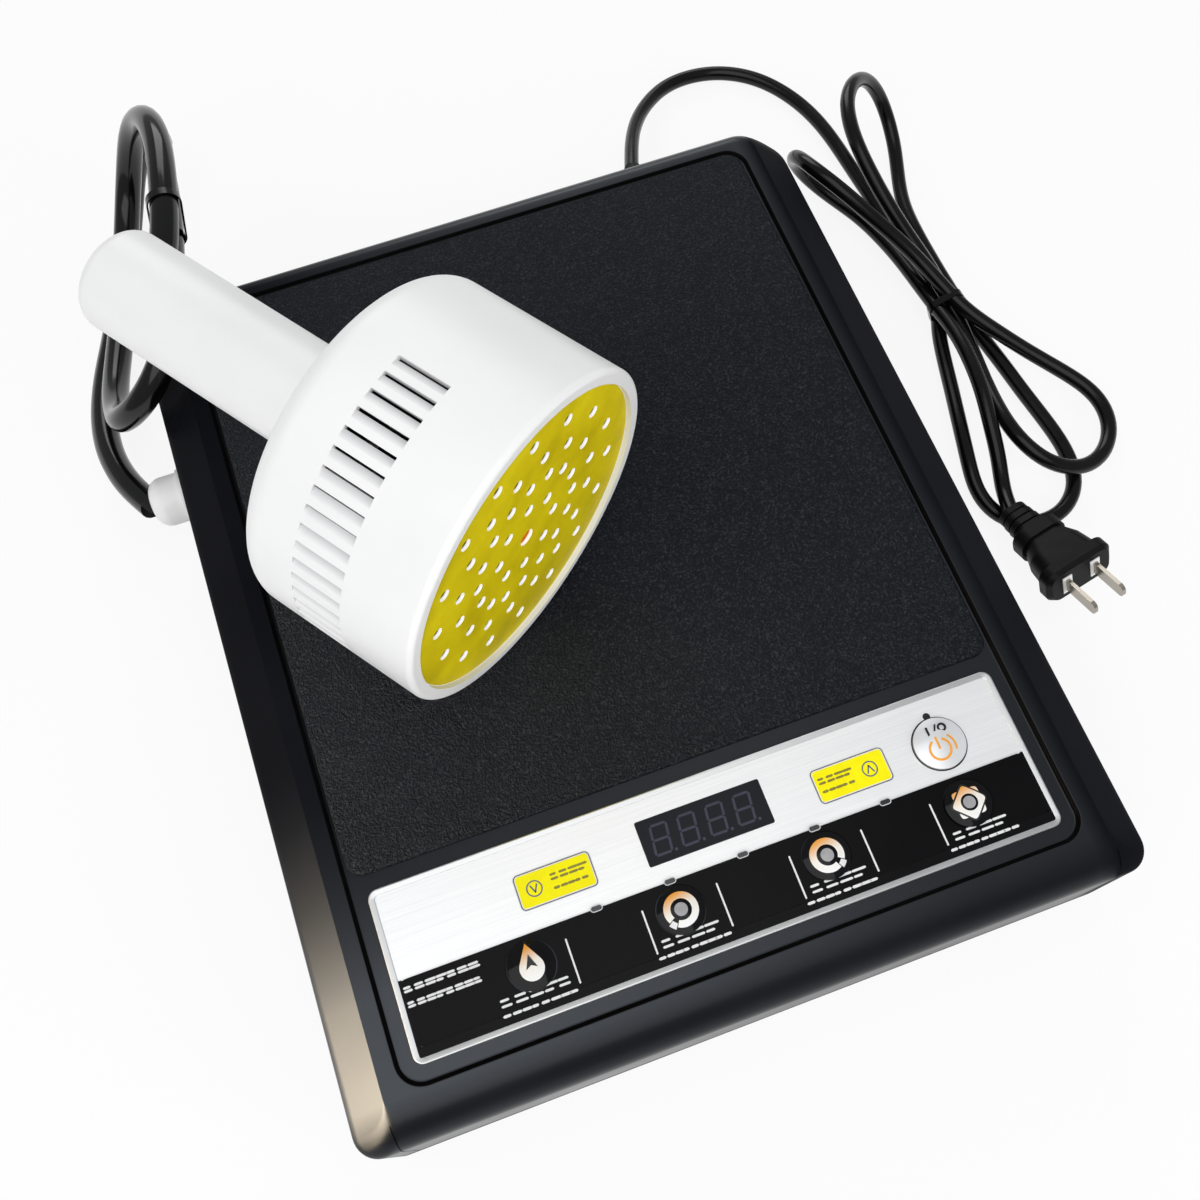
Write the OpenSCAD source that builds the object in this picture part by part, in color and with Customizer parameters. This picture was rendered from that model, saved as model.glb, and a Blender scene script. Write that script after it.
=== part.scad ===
// Induction cap sealer: bench case with a key panel, a hand-held sealing head
// lying on the case's top plate, the head's cable and a mains lead.
// Millimetres, +Z up. The pieces are laid out about the middle of the case's base
// (+X right, +Y back) and then moved as one, so that the middle of the whole is at the origin.

/* [Case] */
// Width of the case
case_w = 278; // [275:1:290]
// Depth of the case, front to back
case_d = 333; // [330:1:345]
// Height of the top plate above the table
case_h = 62; // [60:1:72]
// Radius of the case's back corners, seen from above
corner_r = 17; // [15:0.5:22]
// Radius of the case's front corners, seen from above
front_r = 9; // [8:0.5:12]
// Radius of the rounded top edge at front and back
edge_r = 12; // [9:0.5:13]
// Width of the sloping flat along each side
flat_w = 14.3; // [12:0.1:15]
// Drop of the sloping flat
flat_h = 12; // [9:0.5:14]
// Thickness of the case's walls
wall = 2.6; // [2:0.1:3]
// Height of the joint between the lower and the upper shell
joint_z = 14; // [12:0.5:16]
// Height of the rubber feet
foot_h = 5; // [4:0.5:7]
// Radius of a rubber foot
foot_r = 9; // [6:0.5:11]

/* [Top plate] */
// Width of the top plate
plate_w = 233; // [228:1:236]
// Thickness of the top plate
plate_t = 4; // [3:0.5:5]
// Corner radius of the top plate
plate_r = 8; // [4:0.5:12]
// Distance from the case's back to the plate
plate_back = 11.5; // [11:0.5:13]
// Depth of the shallow recess round plate and panel
recess_t = 1.2; // [0.8:0.1:1.6]

/* [Key panel] */
// Width of the panel
panel_w = 225; // [220:1:228]
// Size of the panel, front to back
panel_d = 55; // [54:0.5:57]
// Distance from the top plate to the panel
panel_gap = 6; // [5:0.5:7]
// Distance from the panel to the case's front
panel_front = 23.5; // [22.5:0.5:25]
// Thickness of the panel
panel_t = 2.6; // [2.2:0.1:3.2]
// Width of the panel's raised border
border = 3; // [2:0.5:3.5]
// Distance from the panel's back edge to the dark key strip
split = 30.4; // [30:0.2:31]
// Radius of a round key
key_r = 8; // [7:0.1:8.2]
// Radius of the power key
power_r = 9; // [7.5:0.1:9.2]
// Distance from key to key
key_pitch = 51.3; // [48:0.1:52]
// Travel of a key
key_travel = 1.2; // [0.6:0.1:1.2]
// Width of the display window
display_w = 44.6; // [40:0.2:48]
// Height of the display window
display_d = 15.8; // [13:0.2:16.6]

/* [Sealing head] */
// Outer radius of the head
head_r = 60; // [58:0.5:64]
// Length of the head behind the face disc
head_l = 64.6; // [62:0.2:72]
// Radius of the yellow face disc
disc_r = 55; // [54:0.2:55.4]
// Thickness of the face disc
disc_t = 3; // [2.4:0.2:3.4]
// Radius of a small hole in the face disc
disc_hole_r = 2.1; // [1.2:0.1:2.1]
// How far the rim stands in front of the disc
rim_h = 2; // [1.4:0.2:2.6]
// Wall of the head's shell
head_wall = 2.6; // [2:0.2:3]
// Vent slots in each of the two banks
slots = 17; // [8:1:18]
// Angle from slot to slot
slot_pitch = 6.05; // [5.6:0.05:6.2]
// Length of a vent slot
slot_l = 18.4; // [14:0.2:22]
// Outer radius of the handle
handle_r = 18.75; // [18.2:0.05:20]
// Distance from the face disc to the handle's end
handle_end = 176.6; // [174:0.2:186]
// Wall of the handle
handle_wall = 3.2; // [2.6:0.1:3.4]
// Travel of the trigger button
trigger_travel = 2.5; // [1.5:0.1:2.5]
// Direction of the head's axis on the plate
head_az = -54.8; // [-55.6:0.2:-54]

/* [Cords] */
// Diameter of the head's cable
cable_d = 11; // [9:0.5:11]
// Diameter of the mains lead
lead_d = 6.5; // [5:0.5:6.5]
// Length of the strain relief on the case's back
relief_l = 22; // [20:1:30]
// Reach of the domed gland from the case's side
gland_out = 16; // [14:0.5:18]

/* [Hidden] */
$fn = 48;
fit = 0.15;          // easy fit between pieces that are put together
gap_run = 0.05;      // radial play of a fan on its pin
gap_key = 0.35;      // play round keys and trigger
seat = 0.15;         // head above the plate
eps = 0.01;

// levels in the case
floor_z = foot_h + wall;
deck_z = case_h - 7;
recess_z = case_h - recess_t;
panel_z = case_h - panel_t;
field_z = case_h - 0.4;
strip_z = case_h - 0.8;
board_t = 1.6;
board_z = case_h - 17;

// places on the top, seen from above
plate_d = case_d - plate_back - panel_gap - panel_d - panel_front;
plate_y1 = case_d / 2 - plate_back;
plate_y0 = plate_y1 - plate_d;
plate_yc = (plate_y0 + plate_y1) / 2;
panel_y1 = plate_y0 - panel_gap;
panel_y0 = panel_y1 - panel_d;
panel_yc = (panel_y0 + panel_y1) / 2;
split_y = panel_y1 - split;
recess_y0 = panel_y0 - 7;
recess_y1 = plate_y1 + 2.5;
recess_w = max(plate_w, panel_w) + 9;
key_y = split_y - 9.9;
power_x = panel_w / 2 - 27.1;
key_x0 = power_x - 3 * key_pitch;
power_y = panel_y1 - 18.3;
power_lamp_y = panel_y1 - 7.9;
power_lamp_r = 1;
lamp_x0 = key_x0 + key_pitch / 2;
lamp_y = split_y;
lamp_l = 3.6;
lamp_w = 1.6;
lamp_stem = 0.6;
display_y = panel_y1 - 16.2;
key_lift = 0.6;      // a key's rim above the strip
key_dome = 1.4;
key_flange = 1.2;    // how far the flange is wider than the cap
key_flat = 0.8;      // how far the flange's flat lies inside the cap's edge
plunger_z = case_h - 9.8;

// case fasteners
screw_r = 2;
pad_r = 7;
screw_x = case_w / 2 - 17;
screw_y = case_d / 2 - 18.5;
pad_z = foot_h + 6;
lip_h = 4;
lip_t = 1.6;
plinth_h = 1.5;
groove = 0.6;        // depth of the shadow line under the joint
groove_h = 0.8;
foot_x = case_w / 2 - 34;
foot_y = case_d / 2 - 36;
peg_r = 3;

// fan and boards in the case
fan_x = -68;
fan_y = case_d / 2 - 82.5;
fan_s = 80;
fan_t = 20;
fan_bore_r = 37.5;
fan_r = 36.4;
pin_r = 2;
mains_x = 52;
mains_y = 18;
mains_w = 136;
mains_d = 176;
mains_z = floor_z + 6.5;
top_z = mains_z + board_t;
part_h = deck_z - top_z - 2;   // room above the power board
post_dx = mains_w / 2 - 6;
post_dy = mains_d / 2 - 6;
panel_post_x = panel_w / 2 + 1;
panel_post_dy = 16;

// sizes on the power board; places are from its front left corner
sink_x = 38;
sink_y = mains_d - 66;
sink_w = 66;
sink_t = 5;
sink_h = min(30, part_h);
fins = 10;
fin_t = 2;
fin_l = 30;
transistor_w = 15.6;
transistor_pitch = 20;
rectifier_w = 20;
body_t = 5;
leg_w = 1.2;
leg_t = 0.8;
can_r = 12;
can_h = min(30, part_h);
film_w = 32;
film_d = 15;
film_h = min(24, part_h);
choke_r = 15;
choke_wire_r = 9;
core_w = 26;
core_d = 22;
core_h = min(22, part_h - 1);
flange_t = 3;
fuse_l = 20;
fuse_r = 2.6;
clip_w = 7;
clip_t = 3;
stud_r = 5;
stud_h = 12;

// gland and mains bush
gland_y = 96;
gland_z = 30;
gland_r = 10;
thread_r = 8;
bush_x = 83;
bush_z = 27;
bush_r = 6;

// the head, along its own axis: +Z out of the face, +X down
face_x = -26.6;
face_y = -12.4;
rim_r = disc_r + fit;
ledge_t = 4;
ledge_r = disc_r - 3.5;
back_t = 3;
carrier_z = -12;
carrier_t = 4;
coil_wire_r = 1.75;
coil_r = 13.5;       // middle of the first turn
coil_turns = 10;
coil_pitch = 3.2;
bar_w = 10;
bar_l = 28;
bar_t = 5;
coil_z = carrier_z + carrier_t + coil_wire_r + 0.05;
post_r = 47;
slot_mid = 225.1;
slot_back = 42.6;
slot_w = 3.6;
trigger_z = -95;
trigger_r = 6.6;
outlet_z = -140;
outlet_tilt = 40;
outlet_r = 7.6;
outlet_out = 34;
bore_r = handle_r - handle_wall;

// the plug
plug_az = -82;
plug_tilt = 22;
plug_roll = 8;
plug_p = [171.4, -19.2, 12];
plug_l = 42;
plug_relief = 15;
plug_collar = 5;
plug_flange = 6;
plug_bevel = 2;
plug_swell = 7;
rib_pitch = 3.8;
rib_l = 2.8;
thin = 0.1;

// sections of the plug: height, width, corner
core_s = [8.6, 11.4, 4.2];
rib_s = [9.6, 12.6, 4.7];
rib_grow = [0.4, 0.6, 0];
collar_s = [14.6, 20.4, 6];
waist_s = [12.4, 17.4, 5];
swell_s = [14, 23.6, 5.5];
end_s = [14.6, 26, 5.5];
rim_s = [16.4, 29.6, 5];
face_s = [14.4, 26, 4];

// blades and the sleeves round them
blade_pitch = 12.7;
blade_w = 6.35;
blade_t = 1.5;
blade_l = 16.5;
blade_r = 2.4;
sleeve = [9, 4.2];
sleeve_out = 0.4;
sleeve_in = 2;

// the middle of the whole, without the cords
shift = [gland_out / 2, -relief_l / 2, 0];

// cord ties
tie_a = [-112.7, 190, 77.2];
tie_a_tilt = 102;
tie_a_w = 32.4;
tie_t = 0.6;
tie_l = 3;
tie_b_y = 82;
tie_b_runs = [[188.5, 4.3], [200, 4.3], [193.7, 9.2], [192.9, 16.2], [185.6, 12.6]];    // across and up

// cord routes, point by point
lead_route = [
    [83, 188.5, 27], [88, 202.5, 22.5], [93.5, 215.5, 17.5], [101, 228.5, 12.5], [111, 239.5, 8.5],
    [123, 248, 5.5], [137.5, 250.5, 4], [152, 247.5, 3.5], [165, 239, 3.5], [174.5, 226.5, 3.5],
    [181, 212, 3.5], [184.5, 197, 3.5], [186, 181, 3.5], [187, 165.5, 3.5], [188.5, 150, 3.5],
    [189, 134.5, 3.5], [190, 119, 3.5], [192.5, 103.5, 3.9], [192.5, 89.5, 4.3], [185.5, 76.5, 4.3],
    [181, 61, 4.9], [176.5, 44.5, 6.5], [171.5, 28.5, 9], [167, 12, 10], [164, -3.5, 7],
    [169, -16, 3.5], [180.5, -24.5, 3.5], [195.5, -24, 3.5], [207.5, -13.5, 3.5], [210.5, 3, 3.5],
    [208.5, 20, 3.5], [206, 35.5, 3.5], [204, 51, 4], [201.5, 66.5, 3.9], [200, 81.5, 4.3],
    [199, 97, 4.4], [198.5, 113, 4.5], [198.5, 128.5, 4.5], [200, 144, 3.5], [204.5, 158.5, 3.4],
    [209.5, 173, 5], [210.5, 186, 11.5], [206.5, 194, 23], [197.5, 194, 35], [186.5, 186.5, 43],
    [177.5, 174, 46], [174, 158.5, 44.5], [175, 143, 40], [178.5, 128.5, 33], [183.5, 115.5, 25],
    [189, 103, 18], [193, 90, 11], [194.5, 75.5, 7.5], [193.5, 60, 6.5], [190.5, 44, 9],
    [187.5, 27.5, 13], [187, 10.5, 16], [194, -4, 14], [207.5, -10.5, 10], [222, -7, 7],
    [232.5, 5.5, 6.5], [233.5, 21, 7], [225.5, 35.5, 7], [215, 49, 8.5], [205, 61.5, 12],
    [196.5, 74, 14], [190.5, 87, 17.5], [185, 100, 22], [177.5, 111, 28], [167.5, 122, 36],
    [158, 134, 43], [150.5, 148, 44.5], [149.5, 161.5, 38], [153, 169.5, 25], [160.5, 168.5, 12],
    [170.5, 159.5, 4], [178.5, 145.5, 3.4], [182.5, 130, 4.5], [184.5, 114, 7], [185, 98.5, 9.5],
    [185.5, 82.5, 12.5], [186.5, 67, 15.5], [185, 51.5, 18], [183, 35.5, 18.5], [180.5, 20.5, 15],
    [179, 6.5, 10], [174.9, -6.7, 6.8], [171.4, -19.2, 12]];
cable_route = [
    [-119.9, 119.9, 96.1], [-125, 129.5, 85.5], [-127, 146.5, 82], [-118, 163, 83.5], [-112, 181.5, 86.5],
    [-108.5, 201, 87.5], [-106.5, 220, 85.5], [-108, 238.5, 80], [-112.5, 253, 70], [-119.5, 261.5, 56],
    [-126, 263, 40], [-133, 257.5, 26], [-139, 244.5, 18.5], [-144, 227.5, 16.5], [-148.5, 209.5, 16.5],
    [-153, 191, 17.5], [-157.5, 173, 20], [-160, 155, 26], [-159, 138, 35], [-154.5, 125.5, 48.5],
    [-142, 122.5, 61], [-129, 130.5, 70.5], [-121.5, 146.5, 73], [-119, 166.5, 69.5], [-115, 187, 67.5],
    [-112, 208, 66.5], [-111, 228, 64], [-112.5, 246, 57.5], [-109, 260, 47], [-116.5, 272, 38],
    [-126.5, 275, 25.5], [-134, 268.5, 12], [-140.5, 254, 5.5], [-146, 236, 5.5], [-152, 217.5, 6.5],
    [-157.5, 199.5, 7], [-164, 182, 8.5], [-168.5, 164, 11.5], [-170, 146, 16], [-168.5, 128.5, 20.5],
    [-163.5, 111.5, 25.5], [-155, 96, 30]];

// Rounded rectangle
module plan(w, d, r) {
    square([w - 2 * r, d], center = true);
    square([w, d - 2 * r], center = true);
    for (x = [-1, 1], y = [-1, 1])
        translate([x * (w / 2 - r), y * (d / 2 - r)])
            circle(r);
}

// Half of the case's outline, from the middle line towards +Y
module half_plan(w, d, r) {
    translate([-w, -1])
        square([2 * w, d - r + 1]);
    translate([-w + r, -1])
        square([2 * (w - r), d + 1]);
    for (x = [-1, 1])
        translate([x * (w - r), d - r])
            circle(r);
}

// The case's outline: wide round corners at the back, tighter ones at the front
module case_plan(inset) {
    w = case_w / 2 - inset;
    d = case_d / 2 - inset;
    half_plan(w, d, corner_r - inset);
    mirror([0, 1, 0])
        half_plan(w, d, max(front_r - inset, 1));
}

// Side view of the upper shell: rounded edges at front and back
module long_section(h) {
    translate([-case_d / 2, -1])
        square([case_d, h - edge_r + 1]);
    translate([-case_d / 2 + edge_r, -1])
        square([case_d - 2 * edge_r, h + 1]);
    for (y = [-1, 1])
        translate([y * (case_d / 2 - edge_r), h - edge_r])
            circle(edge_r);
}

// Front view of the upper shell: sloping flats along both sides, drawn 1 past the shell
module cross_section(h) {
    w = case_w / 2;
    rise = flat_h / flat_w;
    polygon([[-w - 1, -1], [w + 1, -1], [w + 1, h - flat_h - rise], [w - flat_w - 1, h + rise],
        [-w + flat_w + 1, h + rise], [-w - 1, h - flat_h - rise]]);
}

// Outside of the upper shell, standing on z = 0
module upper_form() {
    h = case_h - joint_z;
    intersection() {
        linear_extrude(h)
            case_plan(0);
        rotate([90, 0, 90])
            linear_extrude(case_w + 2, center = true)
                long_section(h);
        rotate([90, 0, 0])
            linear_extrude(case_d + 2, center = true)
                cross_section(h);
    }
}

// Moves the case's layout to the frame of the whole
module in_frame() {
    translate(shift)
        children();
}

// Lays the head on the plate: +Z of the head to its face, +X down
module on_plate() {
    in_frame()
        translate([face_x, face_y, case_h + head_r + seat])
            rotate([0, 0, head_az])
                rotate([0, 90, 0])
                    children();
}

// Repeats a piece at the four corners of a rectangle
module at_corners(x, y) {
    for (i = [-1, 1], j = [-1, 1])
        translate([i * x, j * y, 0])
            children();
}

// Screw with a flat round head, pointing up from z = 0
module screw(r, l, head_r, head_h) {
    translate([0, 0, -head_h]) {
        cylinder(r = r, h = head_h + l);
        cylinder(r = head_r, h = head_h);
    }
}

module lower_shell() {
    color([0.05, 0.05, 0.06])
        in_frame()
            difference() {
                union() {
                    difference() {
                        union() {
                            translate([0, 0, foot_h])
                                linear_extrude(joint_z - foot_h)
                                    case_plan(groove);
                            translate([0, 0, foot_h + plinth_h])
                                linear_extrude(joint_z - foot_h - plinth_h - groove_h)
                                    case_plan(0);
                            translate([0, 0, joint_z - 2])
                                linear_extrude(lip_h + 2)
                                    case_plan(wall + fit);
                        }
                        translate([0, 0, floor_z])
                            linear_extrude(joint_z + lip_h)
                                case_plan(wall + fit + lip_t);
                    }
                    at_corners(screw_x, screw_y)
                        translate([0, 0, floor_z - 1])
                            cylinder(r = pad_r, h = pad_z - floor_z + 1);
                    translate([mains_x, mains_y, floor_z - 1])
                        at_corners(post_dx, post_dy)
                            cylinder(r = 4, h = mains_z - floor_z + 1);
                }
                at_corners(screw_x, screw_y) {
                    translate([0, 0, foot_h - 1])
                        cylinder(r = 4.3, h = 4);
                    cylinder(r = screw_r + fit, h = pad_z + 1);
                }
                translate([mains_x, mains_y, floor_z])
                    at_corners(post_dx, post_dy)
                        cylinder(r = 1.4, h = 12);
                at_corners(foot_x, foot_y)
                    cylinder(r = peg_r, h = floor_z + 1);
                for (i = [-5:5])
                    translate([fan_x + i * 6.4, fan_y, floor_z])
                        cube([3, 2 * sqrt(35 * 35 - i * i * 41), 3 * wall], center = true);
                for (i = [0:9])
                    translate([mains_x - 40 + i * 8, case_d / 2 - 44, floor_z])
                        cube([3, 30, 3 * wall], center = true);
            }
}

module upper_shell() {
    recess_d = recess_y1 - recess_y0;
    flat_in = (wall * norm([flat_w, flat_h]) + (deck_z - case_h + flat_h) * flat_w) / flat_h;
    color([0.05, 0.05, 0.06])
        in_frame()
            difference() {
                union() {
                    difference() {
                        translate([0, 0, joint_z])
                            upper_form();
                        translate([0, 0, joint_z - 1])
                            linear_extrude(case_h - flat_h - wall - joint_z + 1)
                                case_plan(wall);
                        translate([0, 0, joint_z])
                            linear_extrude(deck_z - joint_z)
                                plan(case_w - 2 * flat_in, case_d - 2 * flat_in, 6);
                    }
                    at_corners(screw_x, screw_y)
                        translate([0, 0, pad_z])
                            cylinder(r = 5, h = deck_z - pad_z + 1);
                    translate([0, panel_yc, 0])
                        at_corners(panel_post_x, panel_post_dy)
                            translate([0, 0, board_z + board_t])
                                cylinder(r = 3.5, h = deck_z - board_z - board_t + 1);
                }
                at_corners(screw_x, screw_y)
                    translate([0, 0, pad_z - 1])
                        cylinder(r = screw_r, h = 16);
                translate([0, panel_yc, board_z])
                    at_corners(panel_post_x, panel_post_dy)
                        cylinder(r = 1.4, h = 8);
                translate([0, (recess_y0 + recess_y1) / 2, recess_z])
                    linear_extrude(10)
                        plan(recess_w, recess_d, 9);
                translate([0, plate_yc, case_h - plate_t])
                    linear_extrude(10)
                        plan(plate_w + 2 * fit, plate_d + 2 * fit, plate_r + fit);
                translate([0, plate_yc, deck_z - 1])
                    linear_extrude(10)
                        plan(plate_w - 20, plate_d - 20, plate_r);
                translate([0, panel_yc, panel_z])
                    linear_extrude(10)
                        plan(panel_w + 2 * fit, panel_d + 2 * fit, 5 + fit);
                translate([0, panel_yc, deck_z - 1])
                    linear_extrude(10)
                        plan(panel_w - 7, panel_d - 7, 4);
                translate([-case_w / 2, gland_y, gland_z])
                    rotate([0, 90, 0])
                        cylinder(r = thread_r + fit, h = 3 * wall, center = true);
                translate([bush_x, case_d / 2, bush_z])
                    rotate([90, 0, 0])
                        cylinder(r = bush_r + fit, h = 3 * wall, center = true);
            }
}

module top_plate() {
    color([0.09, 0.09, 0.1])
        in_frame()
            translate([0, plate_yc, case_h - plate_t])
                linear_extrude(plate_t)
                    plan(plate_w, plate_d, plate_r);
}

module rubber_feet() {
    color([0.12, 0.12, 0.12])
        in_frame()
            at_corners(foot_x, foot_y) {
                cylinder(r = foot_r, h = foot_h);
                cylinder(r = peg_r, h = floor_z);
            }
}

module case_screws() {
    color([0.6, 0.6, 0.62])
        in_frame()
            at_corners(screw_x, screw_y)
                translate([0, 0, foot_h + 3])
                    screw(screw_r, 16, 3.8, 2.2);
}

// Holes through the panel for keys, lamps and the display window
module panel_holes(h) {
    for (i = [0:3])
        translate([key_x0 + i * key_pitch, key_y, 0])
            cylinder(r = key_r + gap_key, h = h);
    translate([power_x, power_y, 0])
        cylinder(r = power_r + gap_key, h = h);
    for (i = [0:4])
        translate([lamp_x0 + i * key_pitch / 2, lamp_y, 0])
            linear_extrude(h)
                plan(lamp_l + fit, lamp_w + fit, (lamp_w + fit) / 2 - 0.01);
    translate([power_x, power_lamp_y, 0])
        cylinder(r = power_lamp_r + 2 * fit, h = h);
    translate([0.5, display_y, 0])
        linear_extrude(h)
            plan(display_w + fit, display_d + fit, 0.8);
}

module fascia() {
    color([0.66, 0.67, 0.69])
        in_frame()
            difference() {
                translate([0, panel_yc, panel_z])
                    union() {
                        linear_extrude(field_z - panel_z)
                            plan(panel_w, panel_d, 5);
                        linear_extrude(panel_t + 0.2)
                            difference() {
                                plan(panel_w, panel_d, 5);
                                plan(panel_w - 2 * border, panel_d - 2 * border, 5 - border);
                            }
                    }
                translate([0, (panel_y0 + border + split_y) / 2, strip_z])
                    linear_extrude(0.6)
                        plan(panel_w - 2 * border, split_y - panel_y0 - border, 1.5);
                translate([0, 0, panel_z - 1])
                    panel_holes(6);
            }
}

module key_strip() {
    color([0.03, 0.03, 0.04])
        in_frame()
            difference() {
                translate([0, (panel_y0 + border + split_y) / 2, strip_z])
                    linear_extrude(case_h - strip_z)
                        plan(panel_w - 2 * border - fit, split_y - panel_y0 - border - fit, 1.5);
                translate([0, 0, panel_z - 1])
                    panel_holes(6);
            }
}

module display_window() {
    color([0.06, 0.07, 0.09])
        in_frame()
            translate([0.5, display_y, panel_z])
                linear_extrude(field_z + 0.1 - panel_z)
                    plan(display_w, display_d, 0.7);
}

module display_module() {
    color([0.15, 0.16, 0.18])
        in_frame()
            translate([0.5 - display_w / 2, display_y - display_d / 2, board_z + board_t])
                cube([display_w, display_d, panel_z - board_z - board_t - 0.1]);
}

module indicator_lamps() {
    color([0.75, 0.77, 0.8])
        in_frame()
            for (i = [0:4])
                translate([lamp_x0 + i * key_pitch / 2, lamp_y, board_z + board_t]) {
                    cylinder(r = lamp_stem, h = panel_z - board_z);
                    translate([0, 0, panel_z - board_z - board_t])
                        linear_extrude(panel_t)
                            plan(lamp_l, lamp_w, lamp_w / 2 - 0.01);
                }
}

module power_lamp() {
    color([0.2, 0.05, 0.04])
        in_frame()
            translate([power_x, power_lamp_y, board_z + board_t])
                cylinder(r = power_lamp_r, h = field_z - board_z - board_t);
}

// Round key: domed cap, flange with a flat that stops it turning, plunger
module key(x, y, r) {
    cap = case_h + key_lift - panel_z;
    ball = (r * r + key_dome * key_dome) / (2 * key_dome);
    in_frame()
        translate([x, y, panel_z]) {
            cylinder(r = r, h = cap);
            translate([0, 0, cap])
                rotate_extrude()
                    intersection() {
                        translate([0, key_dome - ball])
                            circle(ball, $fn = 96);
                        square([r, key_dome]);
                    }
            translate([0, 0, -1.8])
                intersection() {
                    cylinder(r = r + key_flange, h = 1.6);
                    translate([-20, -20, 0])
                        cube([40, 20 + r - key_flat, 1.6]);
                }
            translate([0, 0, -0.3])
                cylinder(r = r - 0.4, h = 0.4);
            translate([0, 0, plunger_z - panel_z])
                cylinder(r = 2, h = panel_z - plunger_z - 1);
        }
}

module power_key() {
    color([0.7, 0.71, 0.73])
        key(power_x, power_y, power_r);
}

module mode_key() {
    color([0.03, 0.03, 0.03])
        key(key_x0, key_y, key_r);
}

module level_key() {
    color([0.03, 0.03, 0.03])
        key(key_x0 + key_pitch, key_y, key_r);
}

module time_key() {
    color([0.03, 0.03, 0.03])
        key(key_x0 + 2 * key_pitch, key_y, key_r);
}

module fault_key() {
    color([0.03, 0.03, 0.03])
        key(key_x0 + 3 * key_pitch, key_y, key_r);
}

module control_board() {
    color([0.1, 0.3, 0.16])
        in_frame()
            difference() {
                translate([0, panel_yc, board_z])
                    linear_extrude(board_t)
                        plan(panel_w + 9, panel_d - 8, 2);
                translate([0, panel_yc, board_z - 1])
                    at_corners(panel_post_x, panel_post_dy)
                        cylinder(r = 1.4 + fit, h = 4);
            }
}

module key_switches() {
    z = board_z + board_t;
    h = plunger_z - key_travel - 0.4 - z;
    color([0.1, 0.1, 0.1])
        in_frame()
            for (p = [for (i = [0:4]) i < 4 ? [key_x0 + i * key_pitch, key_y] : [power_x, power_y]])
                translate([p[0], p[1], z]) {
                    translate([-3, -3, 0])
                        cube([6, 6, h - 1]);
                    cylinder(r = 1.7, h = h);
                }
}

module panel_screws() {
    color([0.6, 0.6, 0.62])
        in_frame()
            translate([0, panel_yc, board_z])
                at_corners(panel_post_x, panel_post_dy)
                    screw(1.4, 7, 2.6, 1.6);
}

module power_board() {
    color([0.12, 0.32, 0.17])
        in_frame()
            difference() {
                translate([mains_x, mains_y, mains_z])
                    linear_extrude(board_t)
                        plan(mains_w, mains_d, 2);
                translate([mains_x, mains_y, mains_z - 1])
                    at_corners(post_dx, post_dy)
                        cylinder(r = 1.4 + fit, h = 4);
            }
}

module board_screws() {
    color([0.6, 0.6, 0.62])
        in_frame()
            translate([mains_x, mains_y, top_z])
                at_corners(post_dx, post_dy)
                    mirror([0, 0, 1])
                        screw(1.4, 7, 2.6, 1.6);
}

// Places a piece on the power board, from the board's front left corner
module on_board(x, y) {
    in_frame()
        translate([mains_x - mains_w / 2 + x, mains_y - mains_d / 2 + y, top_z])
            children();
}

// Extruded sink: upright back plate with fins behind it
module heat_sink() {
    color([0.7, 0.71, 0.72])
        on_board(sink_x, sink_y) {
            cube([sink_w, sink_t, sink_h]);
            for (i = [0:fins - 1])
                translate([i * (sink_w - fin_t) / (fins - 1), sink_t - 1, 0])
                    cube([fin_t, fin_l, sink_h]);
        }
}

// Flat body standing on a row of legs, with its back at y = 0
module legged(w, h, lift, legs, pitch) {
    translate([0, -body_t, lift])
        cube([w, body_t, h]);
    for (k = [0:legs - 1])
        translate([(w - leg_w) / 2 + (k - (legs - 1) / 2) * pitch, -body_t / 2, 0])
            cube([leg_w, leg_t, lift + eps]);
}

module power_transistors() {
    color([0.08, 0.08, 0.09])
        for (i = [0, 1])
            on_board(sink_x + 6 + i * transistor_pitch, sink_y)
                legged(transistor_w, min(20, part_h - 6), 6, 3, 5);
}

module rectifier() {
    color([0.1, 0.1, 0.11])
        on_board(sink_x + sink_w - rectifier_w - 1, sink_y)
            legged(rectifier_w, min(17, part_h - 5), 5, 4, 5);
}

module bulk_capacitor() {
    color([0.1, 0.12, 0.2])
        on_board(mains_w - can_r - 6, mains_d / 2 - 6)
            cylinder(r = can_r, h = can_h);
}

module film_capacitors() {
    color([0.62, 0.16, 0.12])
        for (i = [0, 1])
            on_board(16 + i * (film_w + 8), mains_d / 2 - film_d - 8)
                cube([film_w, film_d, film_h]);
}

module choke() {
    color([0.72, 0.4, 0.18])
        on_board(mains_w - choke_r - choke_wire_r - 10, choke_r + choke_wire_r + 14)
            translate([0, 0, choke_wire_r])
                rotate_extrude()
                    translate([choke_r, 0])
                        circle(choke_wire_r);
}

module transformer() {
    color([0.85, 0.78, 0.3])
        on_board(22, 12) {
            cube([core_w, core_d, flange_t]);
            translate([flange_t, flange_t, 0])
                cube([core_w - 2 * flange_t, core_d - 2 * flange_t, core_h]);
        }
}

module fuse() {
    color([0.8, 0.8, 0.78])
        on_board(mains_w - 22, mains_d - 36) {
            translate([0, 0, 2 * fuse_r])
                rotate([90, 0, 0])
                    cylinder(r = fuse_r, h = fuse_l, center = true);
            for (y = [-1, 1])
                translate([-clip_w / 2, y * (fuse_l / 2 - 2) - clip_t / 2, 0])
                    cube([clip_w, clip_t, 3 * fuse_r]);
        }
}

module coil_terminals() {
    color([0.75, 0.6, 0.25])
        for (i = [0, 1])
            on_board(2 * stud_r, mains_d - 48 + i * 4 * stud_r) {
                cylinder(r = stud_r, h = stud_h / 3);
                cylinder(r = stud_r / 2, h = stud_h);
            }
}

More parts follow.
